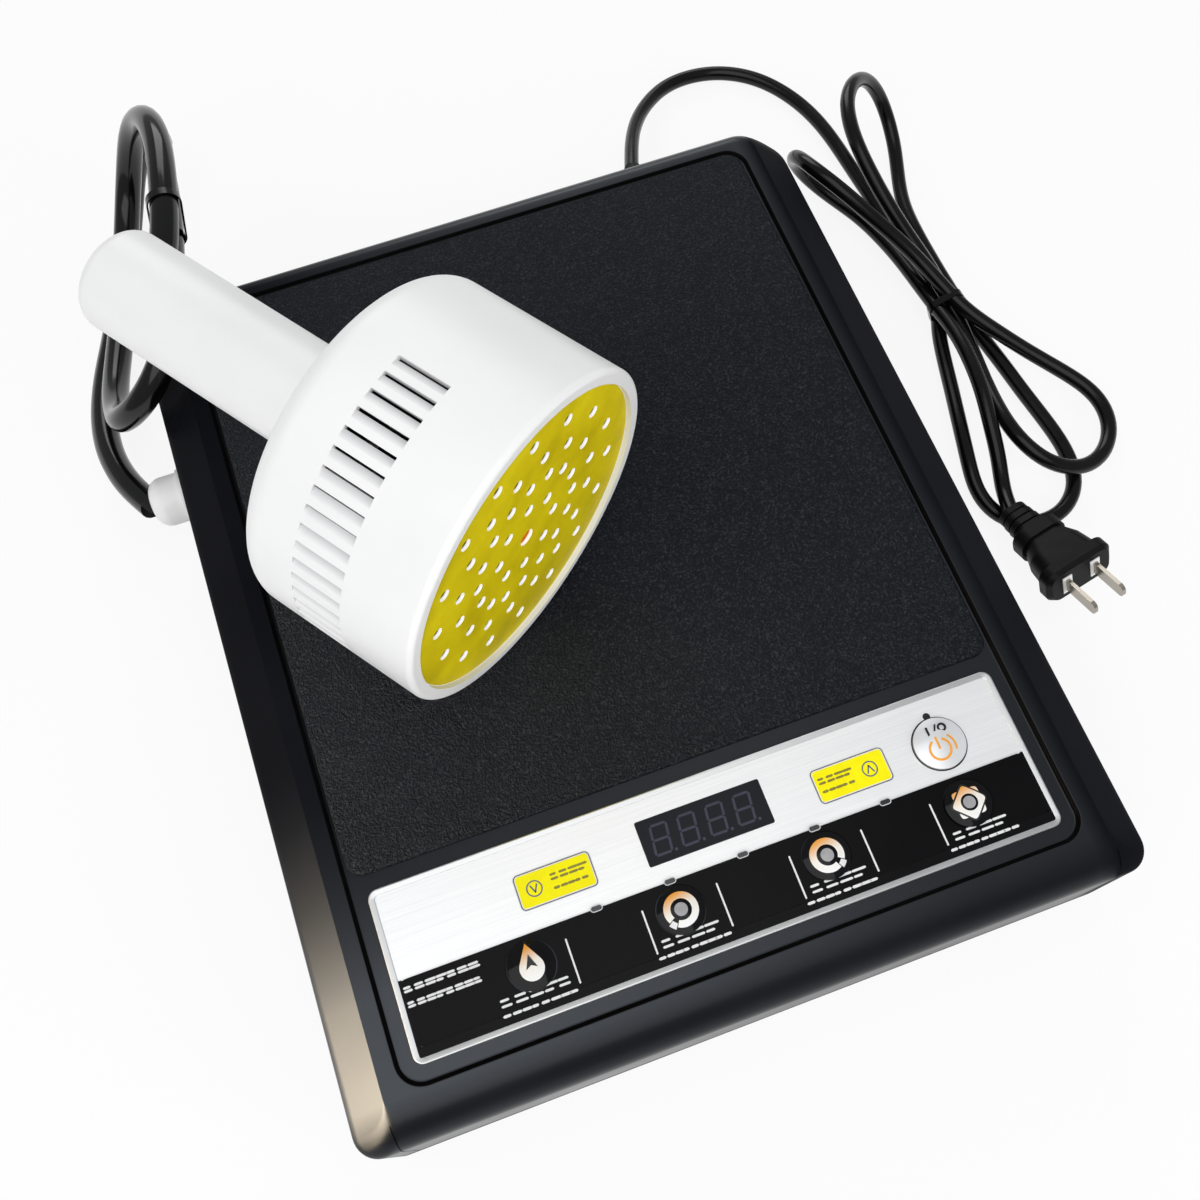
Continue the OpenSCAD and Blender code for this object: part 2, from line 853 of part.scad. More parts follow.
module fan_frame() {
    color([0.1, 0.1, 0.1])
        in_frame()
            translate([fan_x, fan_y, floor_z]) {
                difference() {
                    linear_extrude(fan_t)
                        plan(fan_s, fan_s, 4);
                    translate([0, 0, -1])
                        cylinder(r = fan_bore_r, h = fan_t + 2);
                }
                cylinder(r = 13, h = 2.4);
                for (a = [0:90:270])
                    rotate([0, 0, a + 45])
                        translate([10, -1.5, 0])
                            cube([fan_bore_r - 8, 3, 2.4]);
                cylinder(r = pin_r, h = fan_t - 5);
            }
}

module fan_rotor() {
    color([0.14, 0.14, 0.15])
        in_frame()
            translate([fan_x, fan_y, floor_z + 3])
                difference() {
                    union() {
                        cylinder(r = 12.5, h = fan_t - 4);
                        intersection() {
                            for (a = [0:6])
                                rotate([0, 0, a * 360 / 7])
                                    translate([24, 0, (fan_t - 4) / 2])
                                        rotate([38, 0, 0])
                                            cube([28, 1.4, 18], center = true);
                            cylinder(r = fan_r, h = fan_t - 4.4);
                        }
                    }
                    translate([0, 0, -1])
                        cylinder(r = pin_r + gap_run, h = fan_t - 6);
                }
}

// Points along -X from the case's left side
module at_gland() {
    in_frame()
        translate([-case_w / 2, gland_y, gland_z])
            rotate([0, -90, 0])
                children();
}

module cable_gland() {
    color([0.93, 0.93, 0.92])
        at_gland()
            difference() {
                union() {
                    cylinder(r = gland_r + 1, h = 3);
                    translate([0, 0, -wall - 9])
                        cylinder(r = thread_r, h = wall + 10);
                    cylinder(r = thread_r, h = 8);
                }
                translate([0, 0, -20])
                    cylinder(r = cable_d / 2 - 0.5, h = 40);
            }
}

module gland_dome() {
    color([0.95, 0.95, 0.94])
        at_gland()
            difference() {
                union() {
                    translate([0, 0, 3])
                        cylinder(r = gland_r, h = gland_out - 9);
                    translate([0, 0, gland_out - 6])
                        rotate_extrude()
                            union() {
                                square([gland_r - 6, 6]);
                                intersection() {
                                    translate([gland_r - 6, 0])
                                        circle(6);
                                    square([gland_r, 6]);
                                }
                            }
                }
                translate([0, 0, 2])
                    cylinder(r = thread_r, h = 6);
                cylinder(r = cable_d / 2 - 0.5, h = gland_out - 4);
            }
}

module gland_nut() {
    color([0.9, 0.9, 0.89])
        at_gland()
            translate([0, 0, -wall - 5])
                difference() {
                    cylinder(r = 12, h = 5, $fn = 6);
                    translate([0, 0, -1])
                        cylinder(r = thread_r, h = 7);
                }
}

module mains_bush() {
    color([0.06, 0.06, 0.06])
        in_frame()
            translate([bush_x, case_d / 2, bush_z])
                rotate([-90, 0, 0]) {
                    translate([0, 0, -wall - 4])
                        cylinder(r = bush_r, h = wall + 5);
                    translate([0, 0, -wall - 4])
                        cylinder(r = bush_r + 2, h = 4);
                    cylinder(r = bush_r + 1.5, h = 2);
                    cylinder(r1 = bush_r, r2 = lead_d / 2 + 0.8, h = relief_l, $fn = 64);
                }
}

// Outline of the head's shell: half section with a round back edge and rim
module head_outline(edge, rim) {
    translate([0, -head_l])
        square([head_r - edge, head_l + rim_h]);
    translate([0, -head_l + edge])
        square([head_r, head_l + rim_h - edge - rim]);
    translate([head_r - edge, -head_l + edge])
        circle(edge);
    translate([head_r - rim, rim_h - rim])
        circle(rim);
    translate([0, -head_l + edge])
        square([head_r - rim, head_l + rim_h - edge]);
}

// One louvred slot: a slit at the deep side of a shallow ramp
module slot() {
    a = slot_w / 2;
    translate([0, 0, -slot_back])
        linear_extrude(slot_l)
            polygon([[head_r + 1, -a], [head_r - head_wall - 1, -a], [head_r - head_wall - 1, 1 - a],
                [head_r - 1.3, 1 - a], [head_r - 0.05, a], [head_r + 1, a]]);
}

module head_shell() {
    color([0.94, 0.94, 0.93])
        on_plate()
            difference() {
                union() {
                    rotate_extrude()
                        difference() {
                            intersection() {
                                head_outline(8, 2);
                                translate([0, -head_l - 1])
                                    square([head_r + 1, head_l + 10]);
                            }
                            translate([0, -head_l + back_t])
                                square([head_r - head_wall - 6, head_l]);
                            translate([0, -head_l + back_t + 6])
                                square([head_r - head_wall, head_l - back_t - 6 - disc_t - ledge_t]);
                            translate([0, -disc_t - ledge_t - 1])
                                square([ledge_r, 20]);
                            translate([0, -disc_t])
                                square([rim_r, 20]);
                        }
                    for (a = [0:3])
                        rotate([0, 0, a * 90 + 45])
                            translate([post_r, 0, -head_l + back_t - 1])
                                cylinder(r = 3.5, h = head_l - back_t + 1 + carrier_z);
                }
                for (b = [0, 180], i = [0:slots - 1])
                    rotate([0, 0, b + slot_mid + (i - (slots - 1) / 2) * slot_pitch])
                        slot();
                translate([0, 0, -head_l - 1])
                    cylinder(r = 6, h = back_t + 2);
                for (a = [0:2])
                    rotate([0, 0, a * 120 + 60])
                        translate([10.5, 0, -head_l - 1])
                            cylinder(r = 1.6 + fit, h = back_t + 2);
                for (a = [0:3])
                    rotate([0, 0, a * 90 + 45])
                        translate([post_r, 0, carrier_z - 10])
                            cylinder(r = 1.4, h = 11);
            }
}

module face_disc() {
    rings = [[14.2, 8, -12], [24.8, 16, 10.5], [34.4, 16, 0], [44.6, 16, 10.5]];
    color([0.78, 0.7, 0.03])
        on_plate()
            translate([0, 0, -disc_t])
                difference() {
                    cylinder(r = disc_r, h = disc_t);
                    translate([0, 0, -1])
                        cylinder(r = 3.1, h = disc_t + 2);
                    for (k = rings, i = [0:k[1] - 1])
                        rotate([0, 0, k[2] + i * 360 / k[1]])
                            translate([k[0], 0, -1])
                                cylinder(r = disc_hole_r, h = disc_t + 2, $fn = 24);
                }
}

module insulating_sheet() {
    color([0.96, 0.96, 0.94])
        on_plate()
            translate([0, 0, -disc_t - 1.2])
                difference() {
                    cylinder(r = ledge_r - 0.4, h = 1.1);
                    translate([0, 0, -1])
                        cylinder(r = 2.6, h = 4);
                }
}

module coil() {
    color([0.75, 0.38, 0.16])
        on_plate()
            translate([0, 0, coil_z])
                rotate_extrude()
                    union() {
                        for (i = [0:coil_turns - 1])
                            translate([coil_r + i * coil_pitch, 0])
                                circle(coil_wire_r, $fn = 24);
                        translate([coil_r, -0.5])
                            square([(coil_turns - 1) * coil_pitch, 1]);
                    }
}

module coil_carrier() {
    color([0.85, 0.84, 0.8])
        on_plate()
            translate([0, 0, carrier_z])
                difference() {
                    cylinder(r = ledge_r - 0.5, h = carrier_t);
                    translate([0, 0, -1])
                        cylinder(r = 2.3, h = carrier_t + 2);
                    for (a = [0:3])
                        rotate([0, 0, a * 90 + 45])
                            translate([post_r, 0, -1])
                                cylinder(r = 1.4 + fit, h = carrier_t + 2);
                }
}

module carrier_screws() {
    color([0.6, 0.6, 0.62])
        on_plate()
            for (a = [0:3])
                rotate([0, 0, a * 90 + 45])
                    translate([post_r, 0, carrier_z + carrier_t])
                        mirror([0, 0, 1])
                            screw(1.4, 13, 2.4, 1.6);
}

module ferrite_bars() {
    color([0.2, 0.2, 0.21])
        on_plate()
            for (a = [0:5])
                rotate([0, 0, a * 60])
                    translate([coil_r, -bar_w / 2, carrier_z - bar_t])
                        cube([bar_l, bar_w, bar_t]);
}

module thermal_sensor() {
    color([0.9, 0.35, 0.06])
        on_plate()
            translate([0, 0, carrier_z - 2])
                cylinder(r = 2.2, h = 2 - carrier_z - disc_t + 1.4);
}

// Half section of the handle's outside, with a round end
module handle_outline(edge) {
    translate([0, -handle_end])
        square([handle_r - edge, handle_end - head_l]);
    translate([0, -handle_end + edge])
        square([handle_r, handle_end - edge - head_l]);
    intersection() {
        translate([handle_r - edge, -handle_end + edge])
            circle(edge);
        translate([0, -handle_end])
            square([handle_r, edge * 2]);
    }
}

// The trigger's way through the handle's wall
module trigger_way(r, x0, x1) {
    translate([x0, 0, trigger_z])
        rotate([0, 90, 0])
            cylinder(r = r, h = x1 - x0);
}

// The cable's way out of the handle
module outlet_way(r, l0, l1) {
    translate([0, 0, outlet_z])
        rotate([0, 90 + outlet_tilt, 0])
            translate([0, 0, l0])
                cylinder(r = r, h = l1 - l0);
}

module handle() {
    color([0.94, 0.94, 0.93])
        on_plate()
            difference() {
                union() {
                    rotate_extrude()
                        difference() {
                            handle_outline(5);
                            translate([0, -handle_end + 4])
                                square([bore_r, handle_end]);
                        }
                    intersection() {
                        translate([-5, -20, trigger_z - 14])
                            cube([3, 40, 28]);
                        translate([0, 0, -handle_end + 10])
                            cylinder(r = bore_r + 1, h = handle_end);
                    }
                }
                trigger_way(trigger_r + gap_key, 8, 30);
                outlet_way(outlet_r, 8, 60);
            }
}

module handle_plug() {
    color([0.88, 0.88, 0.87])
        on_plate()
            translate([0, 0, -head_l - 8])
                difference() {
                    cylinder(r = bore_r - 0.02, h = 8);
                    translate([0, 0, -1])
                        cylinder(r = 6, h = 10);
                    for (a = [0:2])
                        rotate([0, 0, a * 120 + 60])
                            translate([10.5, 0, -1])
                                cylinder(r = 1.6, h = 10);
                }
}

module handle_screws() {
    color([0.6, 0.6, 0.62])
        on_plate()
            for (a = [0:2])
                rotate([0, 0, a * 120 + 60])
                    translate([10.5, 0, -head_l + back_t])
                        mirror([0, 0, 1])
                            screw(1.6, back_t + 7, 3, 2);
}

module trigger_button() {
    flange_x = sqrt(pow(bore_r, 2) - pow(trigger_r + 1.6, 2)) - 0.4;
    color([0.85, 0.12, 0.08])
        on_plate() {
            trigger_way(trigger_r, flange_x - 1.5, handle_r + 3.5);
            trigger_way(trigger_r + 1.6, flange_x - 1.6, flange_x);
        }
}

module trigger_switch() {
    flange_x = sqrt(pow(bore_r, 2) - pow(trigger_r + 1.6, 2)) - 0.4;
    top = flange_x - 1.6 - trigger_travel - 0.4;
    color([0.1, 0.1, 0.1])
        on_plate() {
            translate([-2, -5, trigger_z - 10])
                cube([top + 1, 10, 20]);
            trigger_way(2, -1, top);
        }
}

module cable_outlet() {
    color([0.9, 0.9, 0.89])
        on_plate()
            outlet_way(outlet_r - 0.02, 13, outlet_out);
}

// Smooth line through a route: four neighbours give one point
function blend(a, b, c, d, t) =
    (pow(1 - t, 3) * a + (3 * pow(t, 3) - 6 * t * t + 4) * b
    + (3 * t - 3 * pow(t, 3) + 3 * t * t + 1) * c + pow(t, 3) * d) / 6;
function smooth(p, n) =
    let (m = len(p), q = concat([2 * p[0] - p[1]], p, [2 * p[m - 1] - p[m - 2]]))
    concat([for (i = [0:m - 2], j = [0:n - 1]) blend(q[i], q[i + 1], q[i + 2], q[i + 3], j / n)], [p[m - 1]]);
function unit(v) = v / norm(v);
function ahead(p, i) = unit(p[min(i + 1, len(p) - 1)] - p[max(i - 1, 0)]);
// Side direction at each ring, carried along so that the tube doesn't twist
function sides(p, i = 0, s = [0, 0, 1], out = []) =
    i >= len(p) ? out :
    let (t = ahead(p, i), v = unit(s - t * (s * t)))
    sides(p, i + 1, v, concat(out, [v]));

// Round cord swept along a route
module cord(route, d, n, sides_n) {
    p = smooth(route, n);
    s = sides(p, 0, abs(ahead(p, 0)[2]) > 0.9 ? [1, 0, 0] : [0, 0, 1]);
    m = len(p);
    points = [for (i = [0:m - 1], k = [0:sides_n - 1])
        let (u = s[i], v = cross(ahead(p, i), u), a = 360 * (k + 0.5) / sides_n)
        p[i] + d / 2 * (cos(a) * u + sin(a) * v)];
    walls = [for (i = [0:m - 2], k = [0:sides_n - 1])
        let (l = (k + 1) % sides_n)
        [i * sides_n + k, (i + 1) * sides_n + k, (i + 1) * sides_n + l, i * sides_n + l]];
    start = [for (k = [0:sides_n - 1]) k];
    end = [for (k = [sides_n - 1:-1:0]) (m - 1) * sides_n + k];
    polyhedron(points, concat(walls, [start, end]));
}

module head_cable() {
    color([0.04, 0.04, 0.04])
        in_frame()
            cord(cable_route, cable_d, 2, 10);
}

module cable_tie() {
    h = cable_d + 2.4;
    color([0.05, 0.05, 0.05])
        in_frame()
            translate(tie_a)
                rotate([0, tie_a_tilt, 0])
                    rotate([90, 0, 0])
                        linear_extrude(tie_l, center = true)
                            difference() {
                                plan(tie_a_w, h, h / 2 - 0.1);
                                plan(tie_a_w - 2 * tie_t, h - 2 * tie_t, h / 2 - 0.1 - tie_t);
                            }
}

module mains_lead() {
    color([0.04, 0.04, 0.04])
        in_frame()
            cord(lead_route, lead_d, 1, 8);
}

// The bundle of the lead's runs where the tie holds it
module lead_bundle() {
    hull()
        for (p = tie_b_runs)
            translate(p)
                circle(d = lead_d);
}

module lead_tie() {
    color([0.05, 0.05, 0.05])
        in_frame()
            translate([0, tie_b_y, 0])
                rotate([90, 0, 0])
                    linear_extrude(tie_l, center = true)
                        difference() {
                            offset(r = tie_t)
                                lead_bundle();
                            lead_bundle();
                        }
}

// The plug's own frame: Z along it to the blades, Y across both blades
module at_plug() {
    in_frame()
        translate(plug_p)
            rotate([0, 0, plug_az])
                rotate([0, 90 - plug_tilt, 0])
                    rotate([0, 0, plug_roll])
                        children();
}

// Slice of the plug: place, length, section
module plug_slice(z, l, s) {
    translate([0, 0, z])
        linear_extrude(l)
            plan(s[0], s[1], s[2]);
}

module plug_sleeve_plan() {
    for (y = [-1, 1])
        translate([0, y * blade_pitch / 2])
            square(sleeve, center = true);
}

module plug_body() {
    waist = plug_relief + plug_collar;
    swell = waist + plug_swell;
    flange = plug_l - plug_flange;
    color([0.05, 0.05, 0.05])
        at_plug()
            difference() {
                union() {
                    plug_slice(0, plug_relief, core_s);
                    for (i = [0:3])
                        plug_slice(i * rib_pitch, rib_l, rib_s + i * rib_grow);
                    plug_slice(plug_relief - 1, plug_collar + 1, collar_s);
                    hull() {
                        plug_slice(waist - thin, thin, waist_s);
                        plug_slice(swell, thin, swell_s);
                    }
                    hull() {
                        plug_slice(swell, thin, swell_s);
                        plug_slice(flange, thin, end_s);
                    }
                    hull() {
                        plug_slice(flange, plug_flange - plug_bevel, rim_s);
                        plug_slice(plug_l - thin, thin, face_s);
                    }
                }
                translate([0, 0, plug_l - sleeve_in])
                    linear_extrude(sleeve_in + 1)
                        plug_sleeve_plan();
            }
}

module plug_sleeves() {
    color([0.93, 0.93, 0.92])
        at_plug()
            translate([0, 0, plug_l - sleeve_in])
                linear_extrude(sleeve_in + sleeve_out)
                    difference() {
                        plug_sleeve_plan();
                        for (y = [-1, 1])
                            translate([0, y * blade_pitch / 2])
                                square([blade_w, blade_t], center = true);
                    }
}

module plug_blades() {
    color([0.8, 0.8, 0.78])
        at_plug()
            for (y = [-1, 1])
                translate([0, y * blade_pitch / 2 + blade_t / 2, plug_l - sleeve_in])
                    rotate([90, 0, 0])
                        linear_extrude(blade_t)
                            hull() {
                                translate([-blade_w / 2, 0])
                                    square([blade_w, 1]);
                                for (x = [-1, 1])
                                    translate([x * (blade_w / 2 - blade_r), sleeve_in + blade_l - blade_r])
                                        circle(blade_r);
                            }
}

lower_shell();
upper_shell();
top_plate();
rubber_feet();
case_screws();
fascia();
key_strip();
display_window();
display_module();
indicator_lamps();
power_lamp();
power_key();
mode_key();
level_key();
time_key();
fault_key();
control_board();
key_switches();
panel_screws();
power_board();
board_screws();
heat_sink();
power_transistors();
rectifier();
bulk_capacitor();
film_capacitors();
choke();
transformer();
fuse();
coil_terminals();
fan_frame();
fan_rotor();
cable_gland();
gland_dome();
gland_nut();
mains_bush();
head_shell();
face_disc();
insulating_sheet();
coil();
coil_carrier();
carrier_screws();
ferrite_bars();
thermal_sensor();
handle();
handle_plug();
handle_screws();
trigger_button();
trigger_switch();
cable_outlet();
head_cable();
cable_tie();
mains_lead();
lead_tie();
plug_body();
plug_sleeves();
plug_blades();
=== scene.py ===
import bpy
import math
from mathutils import Matrix, Vector


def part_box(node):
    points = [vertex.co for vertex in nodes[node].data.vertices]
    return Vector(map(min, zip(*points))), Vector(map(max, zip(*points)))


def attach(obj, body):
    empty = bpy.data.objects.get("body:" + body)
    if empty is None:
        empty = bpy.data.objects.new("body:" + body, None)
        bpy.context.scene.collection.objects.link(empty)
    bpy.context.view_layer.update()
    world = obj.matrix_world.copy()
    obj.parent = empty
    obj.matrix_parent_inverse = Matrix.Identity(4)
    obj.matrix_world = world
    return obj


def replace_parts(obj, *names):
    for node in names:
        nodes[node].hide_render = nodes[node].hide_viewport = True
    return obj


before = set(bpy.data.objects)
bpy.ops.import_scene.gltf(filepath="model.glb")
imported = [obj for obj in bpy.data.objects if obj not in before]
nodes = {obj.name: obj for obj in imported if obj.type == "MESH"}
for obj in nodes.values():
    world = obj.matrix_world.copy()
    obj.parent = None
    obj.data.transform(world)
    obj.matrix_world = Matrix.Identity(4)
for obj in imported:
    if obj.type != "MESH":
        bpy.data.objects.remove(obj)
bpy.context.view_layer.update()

scene = bpy.context.scene
scene.view_settings.view_transform = "Standard"

# Places: the case's own layout in millimetres, moved to the frame of the whole
CASE_LOW, CASE_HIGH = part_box("lower_shell")
SHIFT = Vector(((CASE_LOW.x + CASE_HIGH.x) / 2, (CASE_LOW.y + CASE_HIGH.y) / 2, 0))
CASE_H = 62.0          # top plate above the table
FIELD_Z = 61.6         # silver field of the panel
STRIP_Z = 62.0         # dark key strip
WINDOW_Z = 61.7        # display window
KEY_TOP = 64.0         # highest point of a key's dome
KEY_DOME = 1.4
LAMP_L = 3.6
LAMP_W = 1.6
PRINT_T = 0.06         # thickness of a printed layer
PRINT_SINK = 0.02      # how far it reaches into the surface below


def at(x, y, z=0.0):
    """A point of the case's layout, in metres in the frame of the whole."""
    return SHIFT + Vector((x, y, z)) / 1000


# Pieces

def mesh_piece(name, points, faces, material, body="sealer", smooth=True):
    """A mesh from points in millimetres of the case's layout, riding on a body."""
    mesh = bpy.data.meshes.new(name)
    mesh.from_pydata([at(*p) for p in points], [], faces)
    mesh.update()
    piece = bpy.data.objects.new(name, mesh)
    scene.collection.objects.link(piece)
    piece.data.materials.append(material)
    for polygon in mesh.polygons:
        polygon.use_smooth = smooth
    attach(piece, body)
    return piece


def ring_walls(count, rings):
    """Faces between rings of points that follow each other."""
    faces = []
    for i in range(rings - 1):
        for k in range(count):
            l = (k + 1) % count
            faces.append((i * count + k, i * count + l, (i + 1) * count + l, (i + 1) * count + k))
    return faces


def rounded(w, d, r, x=0.0, y=0.0, steps=6):
    """Outline of a rounded rectangle about a middle, anticlockwise."""
    outline = []
    for sx, sy, start in ((1, 1, 0), (-1, 1, 90), (-1, -1, 180), (1, -1, 270)):
        for i in range(steps + 1):
            a = math.radians(start + 90 * i / steps)
            outline.append((x + sx * (w / 2 - r) + r * math.cos(a), y + sy * (d / 2 - r) + r * math.sin(a)))
    return outline


def bar(x0, y0, x1, y1, width, steps=5):
    """Outline of a straight stroke with round ends."""
    turn = math.degrees(math.atan2(y1 - y0, x1 - x0))
    outline = []
    for x, y, start in ((x1, y1, turn - 90), (x0, y0, turn + 90)):
        for i in range(steps + 1):
            a = math.radians(start + 180 * i / steps)
            outline.append((x + width / 2 * math.cos(a), y + width / 2 * math.sin(a)))
    return outline


def printed(name, outlines, z, material, body="sealer", thickness=PRINT_T):
    """Flat printed shapes with a little thickness, lying on height z."""
    points, faces = [], []
    for outline in outlines:
        first, n = len(points), len(outline)
        points += [(x, y, z - PRINT_SINK) for x, y in outline]
        points += [(x, y, z + thickness) for x, y in outline]
        faces.append(tuple(range(first + n, first + 2 * n)))
        faces += [tuple(first + i for i in face) for face in ring_walls(n, 2)]
    return mesh_piece(name, points, faces, material, body, smooth=False)


def printed_frames(name, pairs, z, material, body="sealer", thickness=PRINT_T):
    """Printed outlines: each a band between an outer and an inner outline of as many points."""
    points, faces = [], []
    for outer, deep_shade_and_amber in pairs:
        first, n = len(points), len(outer)
        points += [(x, y, z - PRINT_SINK) for x, y in outer]
        points += [(x, y, z + thickness) for x, y in outer]
        points += [(x, y, z + thickness) for x, y in deep_shade_and_amber]
        points += [(x, y, z - PRINT_SINK) for x, y in deep_shade_and_amber]
        faces += [tuple(first + i for i in face) for face in ring_walls(n, 4)]
    return mesh_piece(name, points, faces, material, body, smooth=False)


def ring(x, y, r, steps=40):
    """Outline of a circle."""
    turns = [2 * math.pi * i / steps for i in range(steps)]
    return [(x + r * math.cos(a), y + r * math.sin(a)) for a in turns]


def soft_edges(piece, angle=35):
    """Sharp edges above an angle, and faces shaded by their size."""
    piece.data.set_sharp_from_angle(angle=math.radians(angle))
    shading = piece.modifiers.new("shading", "WEIGHTED_NORMAL")
    shading.keep_sharp = True


def loft(name, rings, material, body="sealer", caps=(False, True)):
    """A skin over rings of as many points, closed at its start or end if asked."""
    count = len(rings[0])
    points = [p for outline in rings for p in outline]
    faces = ring_walls(count, len(rings))
    if caps[0]:
        faces.append(tuple(reversed(range(count))))
    if caps[1]:
        faces.append(tuple(range(len(points) - count, len(points))))
    piece = mesh_piece(name, points, faces, material, body)
    soft_edges(piece)
    return piece


def dome_z(r, key_r):
    """Height of a key's domed top at a distance from its middle."""
    ball = (key_r ** 2 + KEY_DOME ** 2) / (2 * KEY_DOME)
    return KEY_TOP - ball + math.sqrt(ball ** 2 - r ** 2)


def on_dome(name, middle, key_r, patches, material, body, lift=PRINT_T):
    """Printed shapes on a key's dome, each a patch between two distances given for every direction."""
    points, faces = [], []
    turns, steps = 72, 6
    for deep_shade_and_amber, outer, start, stop in patches:
        first = len(points)
        for i in range(turns + 1):
            a = math.radians(start + (stop - start) * i / turns)
            for j in range(steps + 1):
                r = deep_shade_and_amber(a) + (outer(a) - deep_shade_and_amber(a)) * j / steps
                points.append((middle[0] + r * math.cos(a), middle[1] + r * math.sin(a),
                               dome_z(r, key_r) + lift))
        for i in range(turns):
            for j in range(steps):
                p = first + i * (steps + 1) + j
                faces.append((p, p + 1, p + steps + 2, p + steps + 1))
    return mesh_piece(name, points, faces, material, body)


def on_dome_at(name, place, middle, key_r, patches, material, body, lift=PRINT_T):
    """Printed shapes on a key's dome about a place beside the key's middle."""
    piece = on_dome(name, place, key_r, patches, material, body, lift)
    for vertex in piece.data.vertices:
        offset = (vertex.co - at(*middle)) * 1000
        vertex.co.z = dome_z(math.hypot(offset.x, offset.y), key_r) / 1000 + lift / 1000
    return piece


def smooth_route(route, steps):
    """A smooth line through a route of points: four neighbours give one point."""
    points = [Vector(p) for p in route]
    points = [2 * points[0] - points[1]] + points + [2 * points[-1] - points[-2]]
    line = []
    for a, b, c, d in zip(points, points[1:], points[2:], points[3:]):
        for i in range(steps):
            t = i / steps
            line.append(((1 - t) ** 3 * a + (3 * t ** 3 - 6 * t * t + 4) * b
                         + (3 * t - 3 * t ** 3 + 3 * t * t + 1) * c + t ** 3 * d) / 6)
    line.append(points[-2])
    return line


def cord_piece(name, route, diameter, material, steps=6):
    """A round cord along a route, as a curve of one open spline."""
    curve = bpy.data.curves.new(name, "CURVE")
    curve.dimensions = "3D"
    curve.bevel_depth = diameter / 2000
    curve.bevel_resolution = 6
    curve.use_fill_caps = True
    line = smooth_route(route, steps)
    spline = curve.splines.new("POLY")
    spline.points.add(len(line) - 1)
    for point, place in zip(spline.points, line):
        point.co = (*at(*place), 1)
    spline.use_smooth = True
    piece = bpy.data.objects.new(name, curve)
    scene.collection.objects.link(piece)
    curve.materials.append(material)
    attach(piece, "sealer")
    return piece, sum((b - a).length for a, b in zip(line, line[1:])) / 1000


# Materials

def shader(name, colour, rough, **sockets):
    """A new material with its Principled shader's plain values set."""
    material = bpy.data.materials.new(name)
    material.use_nodes = True
    tree = material.node_tree
    bsdf = tree.nodes["Principled BSDF"]
    bsdf.inputs["Base Color"].default_value = (*colour, 1)
    bsdf.inputs["Roughness"].default_value = rough
    for socket, value in sockets.items():
        bsdf.inputs[socket.replace("_", " ")].default_value = value
    return material, tree, bsdf


def place_node(tree, stretch=(1, 1, 1), turn=0.0):
    """Object coordinates, which are metres in the frame of the whole, stretched and turned."""
    coords = tree.nodes.new("ShaderNodeTexCoord")
    mapping = tree.nodes.new("ShaderNodeMapping")
    mapping.inputs["Scale"].default_value = stretch
    mapping.inputs["Rotation"].default_value = (0, 0, turn)
    tree.links.new(coords.outputs["Object"], mapping.inputs["Vector"])
    return mapping.outputs["Vector"]


def noise(tree, vector, scale, detail=4.0, rough=0.55):
    node = tree.nodes.new("ShaderNodeTexNoise")
    node.inputs["Scale"].default_value = scale
    node.inputs["Detail"].default_value = detail
    node.inputs["Roughness"].default_value = rough
    tree.links.new(vector, node.inputs["Vector"])
    return node.outputs["Fac"]


def ramp(tree, value, stops):
    """A colour ramp, its stops given as place and colour."""
    node = tree.nodes.new("ShaderNodeValToRGB")
    elements = node.color_ramp.elements
    while len(elements) < len(stops):
        elements.new(0.5)
    for element, (place, colour) in zip(elements, stops):
        element.position = place
        element.color = (*colour, 1)
    tree.links.new(value, node.inputs["Fac"])
    return node.outputs["Color"]


def spread(tree, value, low, high, start=0.3, stop=0.7):
    """A value mapped to the range from low to high."""
    node = tree.nodes.new("ShaderNodeMapRange")
    node.inputs["From Min"].default_value = start
    node.inputs["From Max"].default_value = stop
    node.inputs["To Min"].default_value = low
    node.inputs["To Max"].default_value = high
    tree.links.new(value, node.inputs["Value"])
    return node.outputs["Result"]


def bump(tree, bsdf, height, strength, depth):
    node = tree.nodes.new("ShaderNodeBump")
    node.inputs["Strength"].default_value = strength
    node.inputs["Distance"].default_value = depth
    tree.links.new(height, node.inputs["Height"])
    tree.links.new(node.outputs["Normal"], bsdf.inputs["Normal"])


def grained(name, dark, light, rough, patch=40.0, grain=2500.0, strength=0.1, depth=0.0001, **sockets):
    """Moulded plastic, rubber or metal: faint patches of tone and gloss, and a fine grain."""
    material, tree, bsdf = shader(name, light, rough[0], **sockets)
    vector = place_node(tree)
    cloud = noise(tree, vector, patch)
    tree.links.new(ramp(tree, cloud, ((0.3, dark), (0.7, light))), bsdf.inputs["Base Color"])
    tree.links.new(spread(tree, cloud, *rough), bsdf.inputs["Roughness"])
    bump(tree, bsdf, noise(tree, vector, grain, 2.0), strength, depth)
    return material


def math_node(tree, operation, *values):
    node = tree.nodes.new("ShaderNodeMath")
    node.operation = operation
    for socket, value in zip(node.inputs, values):
        if isinstance(value, (int, float)):
            socket.default_value = value
        else:
            tree.links.new(value, socket)
    return node.outputs[0]


def vector_node(tree, operation, first, second=None):
    node = tree.nodes.new("ShaderNodeVectorMath")
    node.operation = operation
    tree.links.new(first, node.inputs[0])
    if isinstance(second, Vector):
        node.inputs[1].default_value = second
    elif second is not None:
        tree.links.new(second, node.inputs[1])
    return node.outputs["Value" if operation in ("DOT_PRODUCT", "LENGTH") else "Vector"]


def mix_colour(tree, factor, first, second):
    node = tree.nodes.new("ShaderNodeMix")
    node.data_type = "RGBA"
    tree.links.new(factor, node.inputs["Factor"])
    for socket, value in zip((node.inputs[6], node.inputs[7]), (first, second)):
        if isinstance(value, tuple):
            socket.default_value = (*value, 1)
        else:
            tree.links.new(value, socket)
    return node.outputs[2]


